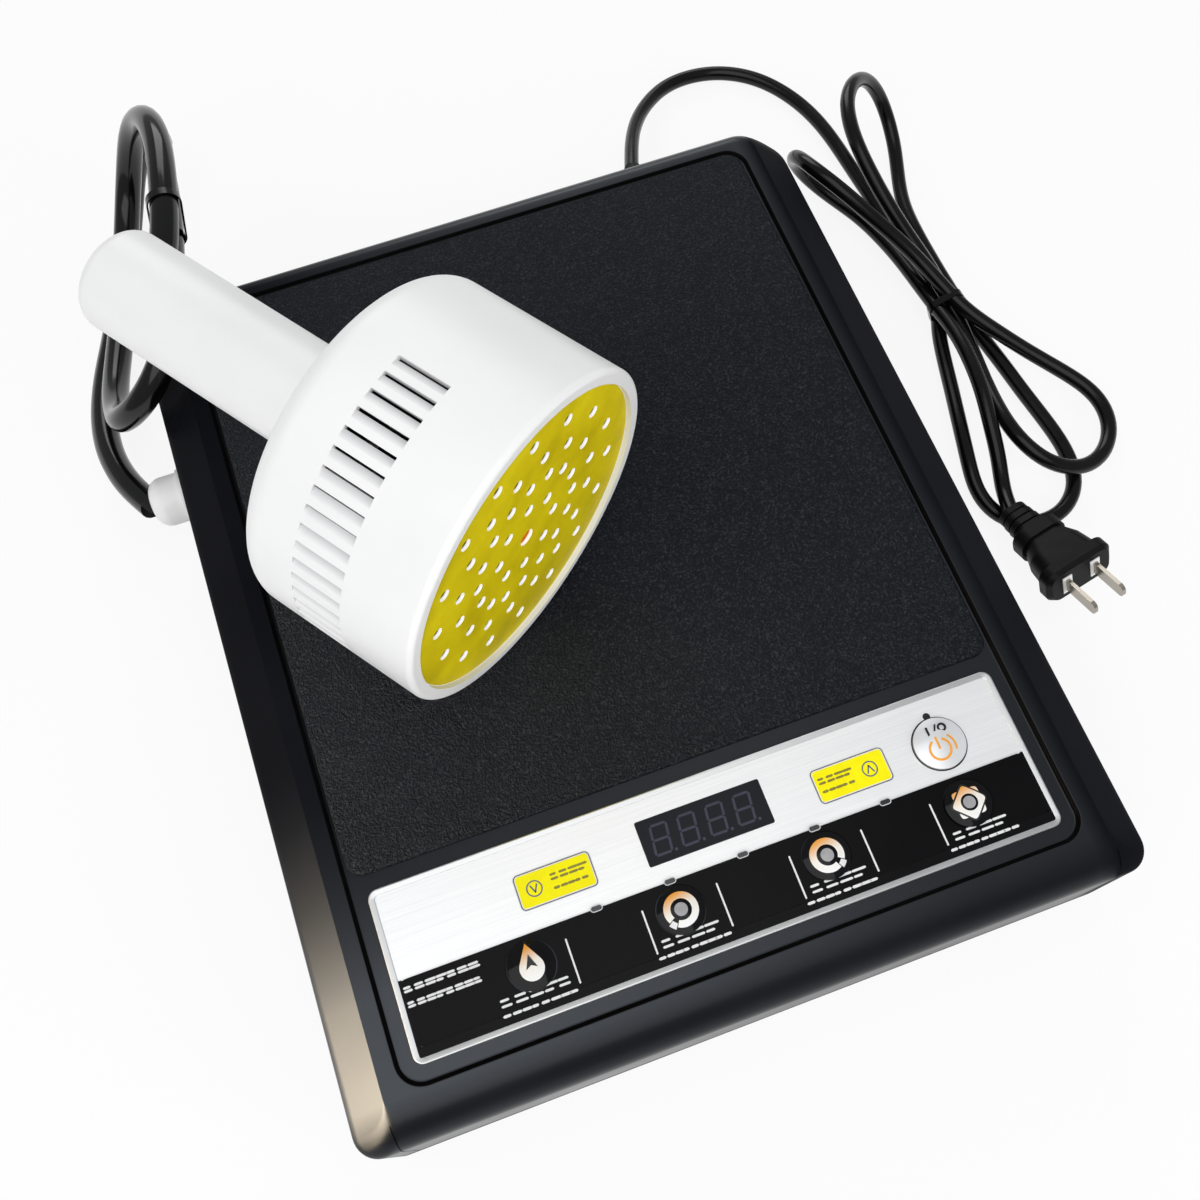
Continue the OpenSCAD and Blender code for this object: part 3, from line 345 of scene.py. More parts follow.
# The head's axis out of its face, and places in metres along it and away from it
HEAD_AZ = math.radians(-54.8)
HEAD_AXIS = Vector((math.cos(HEAD_AZ), math.sin(HEAD_AZ), 0))
FACE_MIDDLE = at(-26.6, -12.4, 122.15)
SLOT_BACK = -0.0426    # the vent slots' reach along the axis
SLOT_FRONT = -0.0242
SLOT_LOW = 0.0587      # the slots' ramps, from the axis
SLOT_HIGH = 0.0599
SKIN_R = 0.05993       # just under the head's outer skin
HOLLOW_R = 0.0578      # inside of the head's wall
HOLLOW_BACK = -0.0617
HOLLOW_FRONT = -0.0065
MOUTH_END = -0.0009    # a hole's white mouth ends here, and its painted shade begins further in
SHADE_START = -0.0012
CENTRE_R = 0.0035      # round the middle hole
FRONT_FACING = 0.8     # faces that look out along the axis at least this much are the disc's front


def head_place(tree):
    """Places on the head: along its axis from the face, and away from the axis."""
    coords = tree.nodes.new("ShaderNodeTexCoord")
    offset = vector_node(tree, "SUBTRACT", coords.outputs["Object"], FACE_MIDDLE)
    along = vector_node(tree, "DOT_PRODUCT", offset, HEAD_AXIS)
    radius = vector_node(tree, "LENGTH", vector_node(tree, "CROSS_PRODUCT", offset, HEAD_AXIS))
    return along, radius


def plate_material():
    """Black plate with a sandy moulded grain that glints."""
    material, tree, bsdf = shader("plate_grain", (0.009, 0.009, 0.0095), 0.5, Specular_IOR_Level=0.18,
                                  Specular_Tint=(0.6, 0.76, 1.0, 1))
    vector = place_node(tree)
    cloud = noise(tree, vector, 9.0, 3.0)
    fine = noise(tree, vector, 1150.0, 3.0, 0.65)
    coarse = noise(tree, vector, 420.0, 2.0)
    sand = ramp(tree, fine, ((0.38, (0.0018, 0.0018, 0.0022)), (0.54, (0.005, 0.005, 0.006)),
                             (0.7, (0.036, 0.036, 0.041))))
    tree.links.new(sand, bsdf.inputs["Base Color"])
    tree.links.new(spread(tree, cloud, 0.36, 0.46), bsdf.inputs["Roughness"])
    height = math_node(tree, "MULTIPLY_ADD", coarse, 0.4, fine)
    bump(tree, bsdf, height, 1.0, 0.0009)
    return material


def brushed_material(name, dark, light, rough):
    """Silver film brushed along the panel's length."""
    material, tree, bsdf = shader(name, light, rough[0], Metallic=0.45)
    streaks = noise(tree, place_node(tree, (8, 900, 900)), 3.0, 6.0, 0.7)
    tree.links.new(ramp(tree, streaks, ((0.25, dark), (0.75, light))), bsdf.inputs["Base Color"])
    tree.links.new(spread(tree, streaks, *rough), bsdf.inputs["Roughness"])
    bump(tree, bsdf, streaks, 0.08, 0.00008)
    return material


def shell_material():
    """White satin plastic, with painted shade: the head's inside painted near black, and the vent slots'
    ramps painted greyer towards the slit.
    """
    material, tree, bsdf = shader("shell_white", (0.88, 0.88, 0.875), 0.36)
    vector = place_node(tree)
    cloud = noise(tree, vector, 25.0)
    white = ramp(tree, cloud, ((0.3, (0.87, 0.87, 0.865)), (0.7, (0.9, 0.9, 0.895))))
    along, radius = head_place(tree)
    # painted shade: the vent slots' ramps are painted greyer towards the slit
    slot = math_node(tree, "MULTIPLY", math_node(tree, "GREATER_THAN", along, SLOT_BACK),
                     math_node(tree, "LESS_THAN", along, SLOT_FRONT))
    slot = math_node(tree, "MULTIPLY", slot, math_node(tree, "LESS_THAN", radius, SKIN_R))
    ramp_shade = ramp(tree, spread(tree, radius, 0.0, 1.0, SLOT_LOW, SLOT_HIGH),
                 ((0.0, (0.6, 0.6, 0.61)), (1.0, (0.86, 0.86, 0.86))))
    white = mix_colour(tree, slot, white, ramp_shade)
    # painted shade: the inside of the head's wall is painted near black, as the shade seen through the
    # slots
    inside = math_node(tree, "LESS_THAN", radius, HOLLOW_R)
    behind = math_node(tree, "LESS_THAN", along, HOLLOW_FRONT)
    before = math_node(tree, "GREATER_THAN", along, HOLLOW_BACK)
    inside_shade = math_node(tree, "MULTIPLY", math_node(tree, "MULTIPLY", inside, behind), before)
    tree.links.new(mix_colour(tree, inside_shade, white, (0.006, 0.006, 0.006)), bsdf.inputs["Base Color"])
    tree.links.new(spread(tree, cloud, 0.34, 0.42), bsdf.inputs["Roughness"])
    bump(tree, bsdf, noise(tree, vector, 1800.0, 2.0), 0.03, 0.00005)
    return material


def disc_material():
    """Blotchy yellow face; the holes' white mouths glow a little as painted light, with painted shade
    further in, and the sensor's amber in the middle hole.
    """
    material, tree, bsdf = shader("disc_yellow", (0.72, 0.58, 0.006), 0.5, Specular_IOR_Level=0.15)
    vector = place_node(tree)
    cloud = noise(tree, vector, 55.0, 5.0)
    yellow = ramp(tree, cloud, ((0.3, (0.56, 0.44, 0.002)), (0.5, (0.68, 0.545, 0.004)),
                                (0.7, (0.76, 0.62, 0.006))))
    along, radius = head_place(tree)
    # painted shade: the holes' walls turn dark brown further in; only the middle hole turns amber, the
    # sensor's colour
    depth = spread(tree, along, 1.0, 0.0, SHADE_START, MOUTH_END)
    centre = math_node(tree, "LESS_THAN", radius, CENTRE_R)
    deep_shade_and_amber = mix_colour(tree, centre, (0.2, 0.14, 0.01), (0.9, 0.3, 0.03))
    wall = mix_colour(tree, depth, (0.93, 0.92, 0.9), deep_shade_and_amber)
    geometry = tree.nodes.new("ShaderNodeNewGeometry")
    facing = vector_node(tree, "DOT_PRODUCT", geometry.outputs["True Normal"], HEAD_AXIS)
    front = math_node(tree, "GREATER_THAN", facing, FRONT_FACING)
    tree.links.new(mix_colour(tree, front, wall, yellow), bsdf.inputs["Base Color"])
    # painted light: the holes' white mouths are given a faint glow of their own, to look brighter
    mouth_glow = mix_colour(tree, depth, (0.36, 0.36, 0.35), (0.0, 0.0, 0.0))
    tree.links.new(mix_colour(tree, front, mouth_glow, (0.0, 0.0, 0.0)), bsdf.inputs["Emission Color"])
    bsdf.inputs["Emission Strength"].default_value = 1.0
    tree.links.new(spread(tree, cloud, 0.42, 0.55), bsdf.inputs["Roughness"])
    bump(tree, bsdf, noise(tree, vector, 900.0, 3.0), 0.1, 0.0001)
    return material


def icon_material(name, middle, radius):
    """White print that turns to amber towards the back of its key."""
    material, tree, bsdf = shader(name, (0.85, 0.85, 0.85), 0.35)
    coords = tree.nodes.new("ShaderNodeTexCoord")
    along = vector_node(tree, "DOT_PRODUCT", coords.outputs["Object"], Vector((-0.25, 1, 0)))
    start = at(*middle).dot(Vector((-0.25, 1, 0)))
    share = spread(tree, along, 0.0, 1.0, start - radius / 1000, start + radius / 1000)
    wash = ramp(tree, share, ((0.0, (0.86, 0.86, 0.87)), (0.55, (0.86, 0.82, 0.74)),
                              (1.0, (0.85, 0.36, 0.04))))
    tree.links.new(wash, bsdf.inputs["Base Color"])
    tree.links.new(spread(tree, noise(tree, place_node(tree), 900.0), 0.3, 0.4), bsdf.inputs["Roughness"])
    return material


# Places in metres where the case's gloss changes
GLOSS_NEAR = -0.131    # the left front, glossiest
GLOSS_FAR = -0.04      # the left is dull from here to the back
RIM_X = 0.1255         # the right rim
FLAT_X = 0.1318        # the right flat, dull
FRONT_WALL = -0.172    # the front wall has a quarter of the gloss
FRONT_EDGE = -0.163
LEFT_X = -0.1          # between these the left's gloss turns into the right's
RIGHT_X = 0.05
GLOSS_FALL = 2.4       # how steeply the left's gloss falls, its range and its least
GLOSS_RANGE = 0.62
GLOSS_LEAST = 0.015


def case_material():
    """Black plastic, glossiest at the left front and dull on the right flat."""
    material, tree, bsdf = shader("case_black", (0.006, 0.006, 0.007), 0.34, Specular_IOR_Level=0.25,
                                  Specular_Tint=(0.82, 0.9, 1.0, 1))
    vector = place_node(tree)
    cloud = noise(tree, vector, 14.0)
    tree.links.new(ramp(tree, cloud, ((0.3, (0.0052, 0.0054, 0.007)), (0.7, (0.0072, 0.0075, 0.0098)))),
                   bsdf.inputs["Base Color"])
    tree.links.new(spread(tree, cloud, 0.26, 0.34), bsdf.inputs["Roughness"])
    across = vector_node(tree, "DOT_PRODUCT", vector, Vector((1, 0, 0)))
    deep = vector_node(tree, "DOT_PRODUCT", vector, Vector((0, 1, 0)))
    nearness = math_node(tree, "POWER", spread(tree, deep, 1.0, 0.0, GLOSS_NEAR, GLOSS_FAR), GLOSS_FALL)
    left = math_node(tree, "MULTIPLY_ADD", nearness, GLOSS_RANGE, GLOSS_LEAST)
    right = spread(tree, across, 0.4, 0.005, RIM_X, FLAT_X)
    share = spread(tree, across, 0.0, 1.0, LEFT_X, RIGHT_X)
    gloss = math_node(tree, "MULTIPLY_ADD", math_node(tree, "SUBTRACT", right, left), share, left)
    front = spread(tree, deep, 0.25, 1.0, FRONT_WALL, FRONT_EDGE)
    tree.links.new(math_node(tree, "MULTIPLY", gloss, front), bsdf.inputs["Specular IOR Level"])
    bump(tree, bsdf, noise(tree, vector, 2600.0, 2.0), 0.04, 0.00005)
    return material


case_black = case_material()
base_black = grained("base_black", (0.006, 0.006, 0.006), (0.01, 0.01, 0.01), (0.42, 0.55), patch=30.0)
# dark seams, and painted shade on the recess's wall bands
seam_black_and_wall_shade = grained("seam_black_and_wall_shade", (0.001, 0.001, 0.001), (0.002, 0.002, 0.002), (0.5, 0.6), patch=90.0,
                     Specular_IOR_Level=0.02)
rubber = grained("rubber", (0.008, 0.008, 0.008), (0.014, 0.014, 0.014), (0.6, 0.75), patch=120.0,
                 strength=0.2)
cable_black = grained("cable_black", (0.002, 0.002, 0.002), (0.004, 0.004, 0.004), (0.12, 0.2),
                      patch=60.0, grain=900.0, strength=0.04, Specular_IOR_Level=0.4)
lead_black = grained("lead_black", (0.002, 0.002, 0.0024), (0.004, 0.004, 0.0045), (0.16, 0.26),
                     patch=80.0, grain=900.0, strength=0.04, Specular_IOR_Level=0.28)
plug_black = grained("plug_black", (0.004, 0.004, 0.0045), (0.007, 0.007, 0.0075), (0.4, 0.5), patch=150.0,
                     grain=2200.0, strength=0.12, Specular_IOR_Level=0.12)
strip_black = grained("strip_black", (0.003, 0.003, 0.0036), (0.0045, 0.0045, 0.005), (0.24, 0.32),
                      patch=30.0, grain=3000.0, strength=0.03, Specular_IOR_Level=0.08)
window_dark = grained("window_dark", (0.0025, 0.003, 0.006), (0.004, 0.0045, 0.009), (0.1, 0.16),
                      patch=60.0, grain=2000.0, strength=0.02, Specular_IOR_Level=0.15)
segment_dark = grained("segment_dark", (0.042, 0.044, 0.068), (0.052, 0.054, 0.08), (0.2, 0.3), patch=200.0,
                       Specular_IOR_Level=0.15)
key_black = grained("key_black", (0.002, 0.002, 0.0024), (0.003, 0.003, 0.0036), (0.05, 0.09),
                    patch=200.0, grain=2500.0, strength=0.01, Specular_IOR_Level=0.22)
print_white = grained("print_white", (0.72, 0.72, 0.73), (0.8, 0.8, 0.81), (0.4, 0.5), patch=400.0)
print_silver = grained("print_silver", (0.55, 0.56, 0.58), (0.66, 0.67, 0.69), (0.3, 0.4), patch=400.0)
print_slate = grained("print_slate", (0.09, 0.11, 0.2), (0.12, 0.14, 0.24), (0.4, 0.5), patch=400.0)
print_yellow = grained("print_yellow", (0.92, 0.82, 0.002), (0.97, 0.89, 0.004), (0.4, 0.5), patch=200.0,
                       Specular_IOR_Level=0.15)
print_olive = grained("print_olive", (0.2, 0.17, 0.02), (0.28, 0.24, 0.03), (0.4, 0.5), patch=400.0)
print_black = grained("print_black", (0.004, 0.004, 0.0045), (0.007, 0.007, 0.008), (0.35, 0.45),
                      patch=400.0)
print_grey = grained("print_grey", (0.3, 0.3, 0.31), (0.38, 0.38, 0.39), (0.35, 0.45), patch=400.0)
print_amber = grained("print_amber", (0.85, 0.33, 0.02), (0.92, 0.42, 0.04), (0.35, 0.45), patch=400.0)
insert_white = grained("insert_white", (0.84, 0.84, 0.83), (0.9, 0.9, 0.89), (0.35, 0.45), patch=400.0)
key_silver = grained("key_silver", (0.7, 0.71, 0.73), (0.76, 0.77, 0.79), (0.3, 0.36), patch=60.0,
                     grain=3000.0, strength=0.02, Metallic=0.5)
border_silver = grained("border_silver", (0.56, 0.57, 0.58), (0.62, 0.63, 0.64), (0.28, 0.34), patch=30.0,
                        grain=3000.0, strength=0.02, Metallic=0.9)
fascia_silver = brushed_material("fascia_silver", (0.72, 0.73, 0.745), (0.86, 0.87, 0.885), (0.3, 0.42))
plate_grain = plate_material()
shell_white = shell_material()
handle_white = grained("handle_white", (0.87, 0.87, 0.865), (0.9, 0.9, 0.895), (0.34, 0.42),
                       patch=25.0, grain=1800.0, strength=0.03, depth=0.00005)
gland_white = grained("gland_white", (0.84, 0.84, 0.83), (0.88, 0.88, 0.87), (0.35, 0.45), patch=90.0)
disc_yellow = disc_material()
# painted shade: the insulating sheet behind the face's holes is painted dark brown, as the shade deep in
# them
sheet_painted_shade = grained("sheet_painted_shade", (0.05, 0.035, 0.012), (0.08, 0.055, 0.02), (0.5, 0.65), patch=80.0)
nickel = grained("nickel", (0.34, 0.31, 0.26), (0.42, 0.385, 0.33), (0.26, 0.32), patch=60.0,
                 grain=3000.0, strength=0.04, Metallic=0.9)
steel = grained("steel", (0.4, 0.4, 0.4), (0.55, 0.55, 0.56), (0.3, 0.45), patch=300.0, Metallic=1.0)
aluminium = grained("aluminium", (0.6, 0.61, 0.62), (0.72, 0.73, 0.74), (0.35, 0.5), patch=60.0,
                    Metallic=1.0)
copper = grained("copper", (0.55, 0.24, 0.1), (0.7, 0.32, 0.14), (0.3, 0.45), patch=200.0, Metallic=0.9)
board_green = grained("board_green", (0.015, 0.09, 0.035), (0.03, 0.14, 0.06), (0.35, 0.5), patch=220.0)
part_black = grained("part_black", (0.012, 0.012, 0.013), (0.025, 0.025, 0.026), (0.4, 0.55), patch=150.0)
film_red = grained("film_red", (0.3, 0.03, 0.02), (0.4, 0.05, 0.03), (0.3, 0.4), patch=90.0)
sleeve_blue = grained("sleeve_blue", (0.01, 0.015, 0.05), (0.02, 0.03, 0.09), (0.25, 0.35), patch=90.0)
tape_yellow = grained("tape_yellow", (0.55, 0.42, 0.03), (0.68, 0.55, 0.06), (0.35, 0.5), patch=120.0)
brass = grained("brass", (0.55, 0.4, 0.14), (0.68, 0.52, 0.2), (0.3, 0.42), patch=200.0, Metallic=1.0)
ceramic = grained("ceramic", (0.72, 0.71, 0.67), (0.8, 0.79, 0.76), (0.35, 0.5), patch=150.0)
ferrite = grained("ferrite", (0.02, 0.02, 0.022), (0.04, 0.04, 0.043), (0.5, 0.65), patch=250.0)
amber = grained("amber", (0.8, 0.2, 0.02), (0.9, 0.3, 0.03), (0.4, 0.5), patch=300.0)
trigger_red = grained("trigger_red", (0.55, 0.02, 0.012), (0.65, 0.035, 0.02), (0.3, 0.4), patch=150.0)
lamp_clear = grained("lamp_clear", (0.02, 0.02, 0.024), (0.035, 0.035, 0.04), (0.12, 0.2), patch=400.0)
lamp_red = grained("lamp_red", (0.02, 0.004, 0.003), (0.035, 0.008, 0.006), (0.15, 0.25), patch=400.0)

FINISHES = {
    case_black: ("upper_shell",),
    base_black: ("lower_shell", "fan_frame", "fan_rotor"),
    rubber: ("rubber_feet", "mains_bush"),
    plate_grain: ("top_plate",),
    fascia_silver: ("fascia",),
    strip_black: ("key_strip",),
    window_dark: ("display_window",),
    key_silver: ("power_key",),
    key_black: ("mode_key", "level_key", "time_key", "fault_key"),
    lamp_clear: ("indicator_lamps",),
    lamp_red: ("power_lamp",),
    board_green: ("control_board", "power_board"),
    part_black: ("display_module", "key_switches", "power_transistors", "rectifier", "trigger_switch"),
    steel: ("case_screws", "panel_screws", "board_screws", "carrier_screws", "handle_screws"),
    aluminium: ("heat_sink",),
    sleeve_blue: ("bulk_capacitor",),
    film_red: ("film_capacitors",),
    copper: ("choke", "coil"),
    tape_yellow: ("transformer",),
    ceramic: ("fuse", "coil_carrier"),
    brass: ("coil_terminals",),
    gland_white: ("cable_gland", "gland_dome", "gland_nut", "handle_plug", "cable_outlet"),
    shell_white: ("head_shell",),
    disc_yellow: ("face_disc",),
    sheet_painted_shade: ("insulating_sheet",),
    ferrite: ("ferrite_bars",),
    amber: ("thermal_sensor",),
    handle_white: ("handle",),
    trigger_red: ("trigger_button",),
    cable_black: ("head_cable", "cable_tie"),
    lead_black: ("mains_lead", "lead_tie"),
    plug_black: ("plug_body",),
    nickel: ("plug_blades",),
    insert_white: ("plug_sleeves",),
}
for material, names in FINISHES.items():
    for name in names:
        nodes[name].data.materials.clear()
        nodes[name].data.materials.append(material)


# Upper shell: rounded front and back, sloping flats at the sides, a shallow recess on top

CASE_W, CASE_D = 278.0, 333.0
JOINT_Z = 14.0
EDGE_R = 12.0
BACK_RUN = 8.0         # how far the back edge's curve runs in
FLAT_W = 14.3
RECESS_Z = 60.8
RIM_HALF_W = 124.3     # where the rounded rim has reached its full height
RIM_FRONT = -154.0
RIM_BACK = 158.0
RECESS_HALF_W = 116.6  # the recess's floor
RECESS_FRONT = -149.4
RECESS_BACK = 154.0
RECESS_R = 7
SHADED_WALL_BANDS = 4         # bands of the recess's edge that are painted darker, as shade on the wall
# the recess's edge: how far out of its floor, and height
RECESS_EDGE = ((2.5, 62), (2.1, 61.96), (1.8, 61.8), (1.5, 61.5), (1.1, 61.05), (0.7, 60.86), (0, RECESS_Z))


def outline_at(half_w, front, back, front_r, back_r, z, steps=10):
    """A level ring: its half width, front and back places and corner radii, anticlockwise."""
    points = []
    corners = ((1, front, front_r, 270), (1, back, back_r, 0),
               (-1, back, back_r, 90), (-1, front, front_r, 180))
    for sx, y, r, start in corners:
        sy = 1 if y == back else -1
        for i in range(steps + 1):
            a = math.radians(start + 90 * i / steps)
            points.append((sx * (half_w - r) + r * math.cos(a), y - sy * r + r * math.sin(a), z))
    return points


def case_ring(z, inset=0.0):
    """The shell's outline at a height."""
    w, d = CASE_W / 2 - inset, CASE_D / 2 - inset
    rise = max(z - (CASE_H - EDGE_R), 0) / EDGE_R
    fall = 1 - math.sqrt(max(1 - rise * rise, 0))
    front_r = 9 - 4 * rise
    back_r = 17 - 9 * rise
    return outline_at(w - FLAT_W * rise, -d + EDGE_R * fall, d - BACK_RUN * fall, front_r, back_r, z)


def upper_shell():
    """The shell from the joint up to its rim, over the rim and down into the recess."""
    rings = [case_ring(JOINT_Z, 0.5), case_ring(JOINT_Z + 0.5)]
    rings += [case_ring(z) for z in (30, 44, 49.4, 50.4)]
    rings += [case_ring(CASE_H - EDGE_R + EDGE_R * math.sin(math.radians(a))) for a in range(9, 82, 9)]
    rings += [case_ring(z) for z in (61.93, 61.985)]
    rings.append(outline_at(RIM_HALF_W, RIM_FRONT, RIM_BACK, 5, 8.5, CASE_H - 0.005))
    for out, z in RECESS_EDGE:
        rings.append(outline_at(RECESS_HALF_W + out, RECESS_FRONT - out, RECESS_BACK + 0.8 * out,
                                RECESS_R + out, RECESS_R + out, z))
    shell = loft("case_top", rings, case_black)
    # painted shade: the recess's wall bands take the darker, nearly glossless seam material
    shell.data.materials.append(seam_black_and_wall_shade)
    count = len(rings[0])
    first = len(rings) - len(RECESS_EDGE) + 1
    for polygon in shell.data.polygons[first * count:(first + SHADED_WALL_BANDS) * count]:
        polygon.material_index = 1
    return shell


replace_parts(upper_shell(), "upper_shell")


SEAM_X = 124.9
SEAM_HALF_W = 0.16
SEAM_OUT = 0.04        # how far a seam's dark line stands off the wall
SEAM_UP = 0.03         # and off the rounded edge


def front_seams():
    """Fine seams where the side caps meet the rounded front."""
    points, faces = [], []
    for x in (-SEAM_X, SEAM_X):
        profile = [(-CASE_D / 2, z) for z in (15, 25, 35, 45, 50)]
        for a in range(10, 71, 6):
            t = math.radians(a)
            profile.append((-CASE_D / 2 + EDGE_R * (1 - math.cos(t)),
                            CASE_H - EDGE_R + EDGE_R * math.sin(t)))
        first = len(points)
        for y, z in profile:
            points += [(side, y - SEAM_OUT, z + SEAM_UP) for side in (x - SEAM_HALF_W, x + SEAM_HALF_W)]
        faces += [(first + 2 * i, first + 2 * i + 1, first + 2 * i + 3, first + 2 * i + 2)
                  for i in range(len(profile) - 1)]
    mesh_piece("front_seams", points, faces, seam_black_and_wall_shade)


front_seams()


# Top plate and the panel's raised border

def level_ring(w, d, r, x, y, z):
    return [(px, py, z) for px, py in rounded(w, d, r, x, y, 8)]


PLATE_W, PLATE_D, PLATE_Y = 233.0, 235.8, 35.9
PANEL_W, PANEL_D, PANEL_Y = 224.8, 57.4, -116.5
SPLIT_Y = -118.4       # where the silver field meets the dark strip
STRIP_HALF_W = 109.35  # the strip itself, inside its margin
STRIP_FRONT = -140.0
POWER = (85.4, -106.3)
POWER_R = 9.0
BORDER = 2             # the border's width over the field and the strip
SIDE_STEPS = 72        # points along each side of the field


def top_plate():
    """The plate with its softened edge."""
    rings = [level_ring(PLATE_W - 2 * i, PLATE_D - 2 * i, 6 - i, 0, PLATE_Y, z)
             for i, z in ((0, 58), (0, 61.1), (0.1, 61.5), (0.35, 61.8), (0.8, 61.96), (1.4, 62))]
    return loft("plate", rings, plate_grain)


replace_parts(top_plate(), "top_plate")


def panel_border():
    """The silver border, bevelled towards the field."""
    profile = ((0, 60.6), (0, 61.85), (0.1, 62.02), (0.35, 62.12), (0.5, 62.12), (1.9, 61.94),
               (2.05, 61.85), (2.1, 61.6), (2.1, 60.9))
    rings = [level_ring(PANEL_W - 2 * i, PANEL_D - 2 * i, 3.4 - i, 0, PANEL_Y, z) for i, z in profile]
    return loft("panel_border", rings, border_silver, caps=(False, False))


def silver_field():
    """The field behind the strip, with the power key's hole."""
    left, right = -PANEL_W / 2 + BORDER, PANEL_W / 2 - BORDER
    front, back = SPLIT_Y - 0.2, PANEL_Y + PANEL_D / 2 - BORDER
    corners = ((left, front), (right, front), (right, back), (left, back))
    outline = []
    for (x0, y0), (x1, y1) in zip(corners, corners[1:] + corners[:1]):
        outline += [(x0 + (x1 - x0) * i / SIDE_STEPS, y0 + (y1 - y0) * i / SIDE_STEPS)
                    for i in range(SIDE_STEPS)]
    hole = []
    for x, y in outline:
        away = Vector((x - POWER[0], y - POWER[1])).normalized() * (POWER_R + 0.3)
        hole.append((POWER[0] + away.x, POWER[1] + away.y))
    rings = [[(x, y, FIELD_Z) for x, y in edge] for edge in (outline, hole)]
    rings.append([(x, y, FIELD_Z - 1.5) for x, y in hole])
    return loft("silver_field", rings, fascia_silver, caps=(False, False))


def strip_margin():
    """The dark strip's margin up to the border: a band in front and one at each side."""
    edge, deep_shade_and_amber = PANEL_W / 2 - BORDER, STRIP_HALF_W
    front, middle = PANEL_Y - PANEL_D / 2 + BORDER, STRIP_FRONT
    bands = [[(-edge, front), (edge, front), (edge, middle), (-edge, middle)],
             [(-edge, middle), (-deep_shade_and_amber, middle), (-deep_shade_and_amber, SPLIT_Y), (-edge, SPLIT_Y)],
             [(deep_shade_and_amber, middle), (edge, middle), (edge, SPLIT_Y), (deep_shade_and_amber, SPLIT_Y)]]
    printed("strip_margin", bands, STRIP_Z - 0.1, strip_black)


panel_border()
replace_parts(silver_field(), "fascia")
strip_margin()


# Prints on the panel

LAMP_X = [-42.85 + 25.65 * i for i in range(5)]
LAMP_Y = -118.4
KEY_X = (-68.5, -17.2, 34.1, 85.4)
KEY_Y = -128.3
KEY_R = 8.0
LABELS = ((-52.5, -105.4), (53.0, -106.2))
# lengths of the short lines, as shares of their cells, in turn
LENGTHS = (0.62, 0.86, 0.5, 0.74, 0.9, 0.66, 0.8)


def lines(x0, x1, y0, y1, count, rows, stroke):
    """Rows of short thin lines in place of words, each line in its own cell."""
    pitch = (x1 - x0) / count
    shapes = []
    for j in range(rows):
        y = (y0 + y1) / 2 if rows == 1 else y0 + stroke / 2 + (y1 - y0 - stroke) * j / (rows - 1)
        for i in range(count):
            left = x0 + i * pitch
            share = LENGTHS[(3 * i + 2 * j) % len(LENGTHS)]
            shapes.append(bar(left, y, left + share * pitch, y, stroke, 2))
    return shapes


def words(x0, x1, y0, y1, count):
    """A larger row: two lines."""
    return lines(x0, x1, y0 + 0.25, y1 - 0.25, count, 2, 0.8)


def small_words(x0, x1, y0, y1, count):
    """A smaller row: one line."""
    return lines(x0, x1, y0, y1, count, 1, 0.9)


def yellow_labels():
    """The two yellow labels with their outlines, rings and plain marks."""
    outer = [(rounded(27, 12.5, 1.9, x, y), rounded(26.5, 12, 1.7, x, y)) for x, y in LABELS]
    printed_frames("label_edges", outer, FIELD_Z, print_silver)
    dark = [(rounded(26.5, 12, 1.7, x, y), rounded(25.9, 11.4, 1.4, x, y)) for x, y in LABELS]
    printed_frames("label_lines", dark, FIELD_Z, print_black)
    printed("label_backs", [rounded(25.9, 11.4, 1.4, x, y) for x, y in LABELS], FIELD_Z, print_white)
    fields = [rounded(25.2, 10.7, 1.1, x, y) for x, y in LABELS]
    printed("label_fields", fields, FIELD_Z + 0.05, print_yellow)
    top = FIELD_Z + 0.1
    rings = [(-59.8, -105.4), (59.7, -106.2)]
    printed_frames("label_rings", [(ring(x, y, 2.75), ring(x, y, 2.3)) for x, y in rings], top, print_slate)
    shapes = []
    for (x, y), turn in zip(rings, (-1, 1)):
        for side in (-1.1, 1.1):
            shapes.append(bar(x + side, y - turn * 1.2, x, y + turn * 1.2, 0.5))
    printed("label_arrows", shapes, top, print_slate)
    rows = words(-53.5, -40.8, -105.1, -102.3, 4) + small_words(-53.4, -41.2, -108.5, -106.5, 5)
    rows += words(41.8, 53.9, -106, -103.2, 4) + small_words(41.9, 53.8, -109.3, -107.3, 5)
    printed("label_words", rows, top, print_olive)


def strip_prints():
    """White bars beside the keys and plain marks below them."""
    bars = [bar(x, -124.4, x, -138.6, 0.6) for x in (-55.5, -29.2, -3.2, 22.5, 48.2, 73.2)]
    printed("strip_bars", bars, STRIP_Z, print_white)
    rows = words(-81.2, -57, -138, -134.9, 5) + small_words(-81.6, -56, -141.4, -139.4, 8)
    rows += words(-26.5, -6.8, -138.2, -135, 4) + small_words(-29, -4, -141.5, -139.5, 9)
    rows += words(25.4, 45, -138.4, -135.2, 4) + small_words(22.5, 47.8, -141.6, -139.7, 8)
    rows += words(76.4, 95.6, -138.6, -135.4, 4) + small_words(73.6, 98.3, -141.7, -139.8, 9)
    rows += words(-109.1, -83.9, -123, -120.6, 7) + words(-109.1, -83.9, -127.8, -125.4, 8)
    printed("strip_words", rows, STRIP_Z, print_white)


def lamp_outlines():
    """Silver outlines round the five lamps."""
    pairs = [(rounded(LAMP_L + 0.6, LAMP_W + 0.6, LAMP_W / 2 + 0.25, x, LAMP_Y),
              rounded(LAMP_L, LAMP_W, LAMP_W / 2 - 0.05, x, LAMP_Y)) for x in LAMP_X]
    printed_frames("lamp_outlines", pairs, STRIP_Z, print_silver)


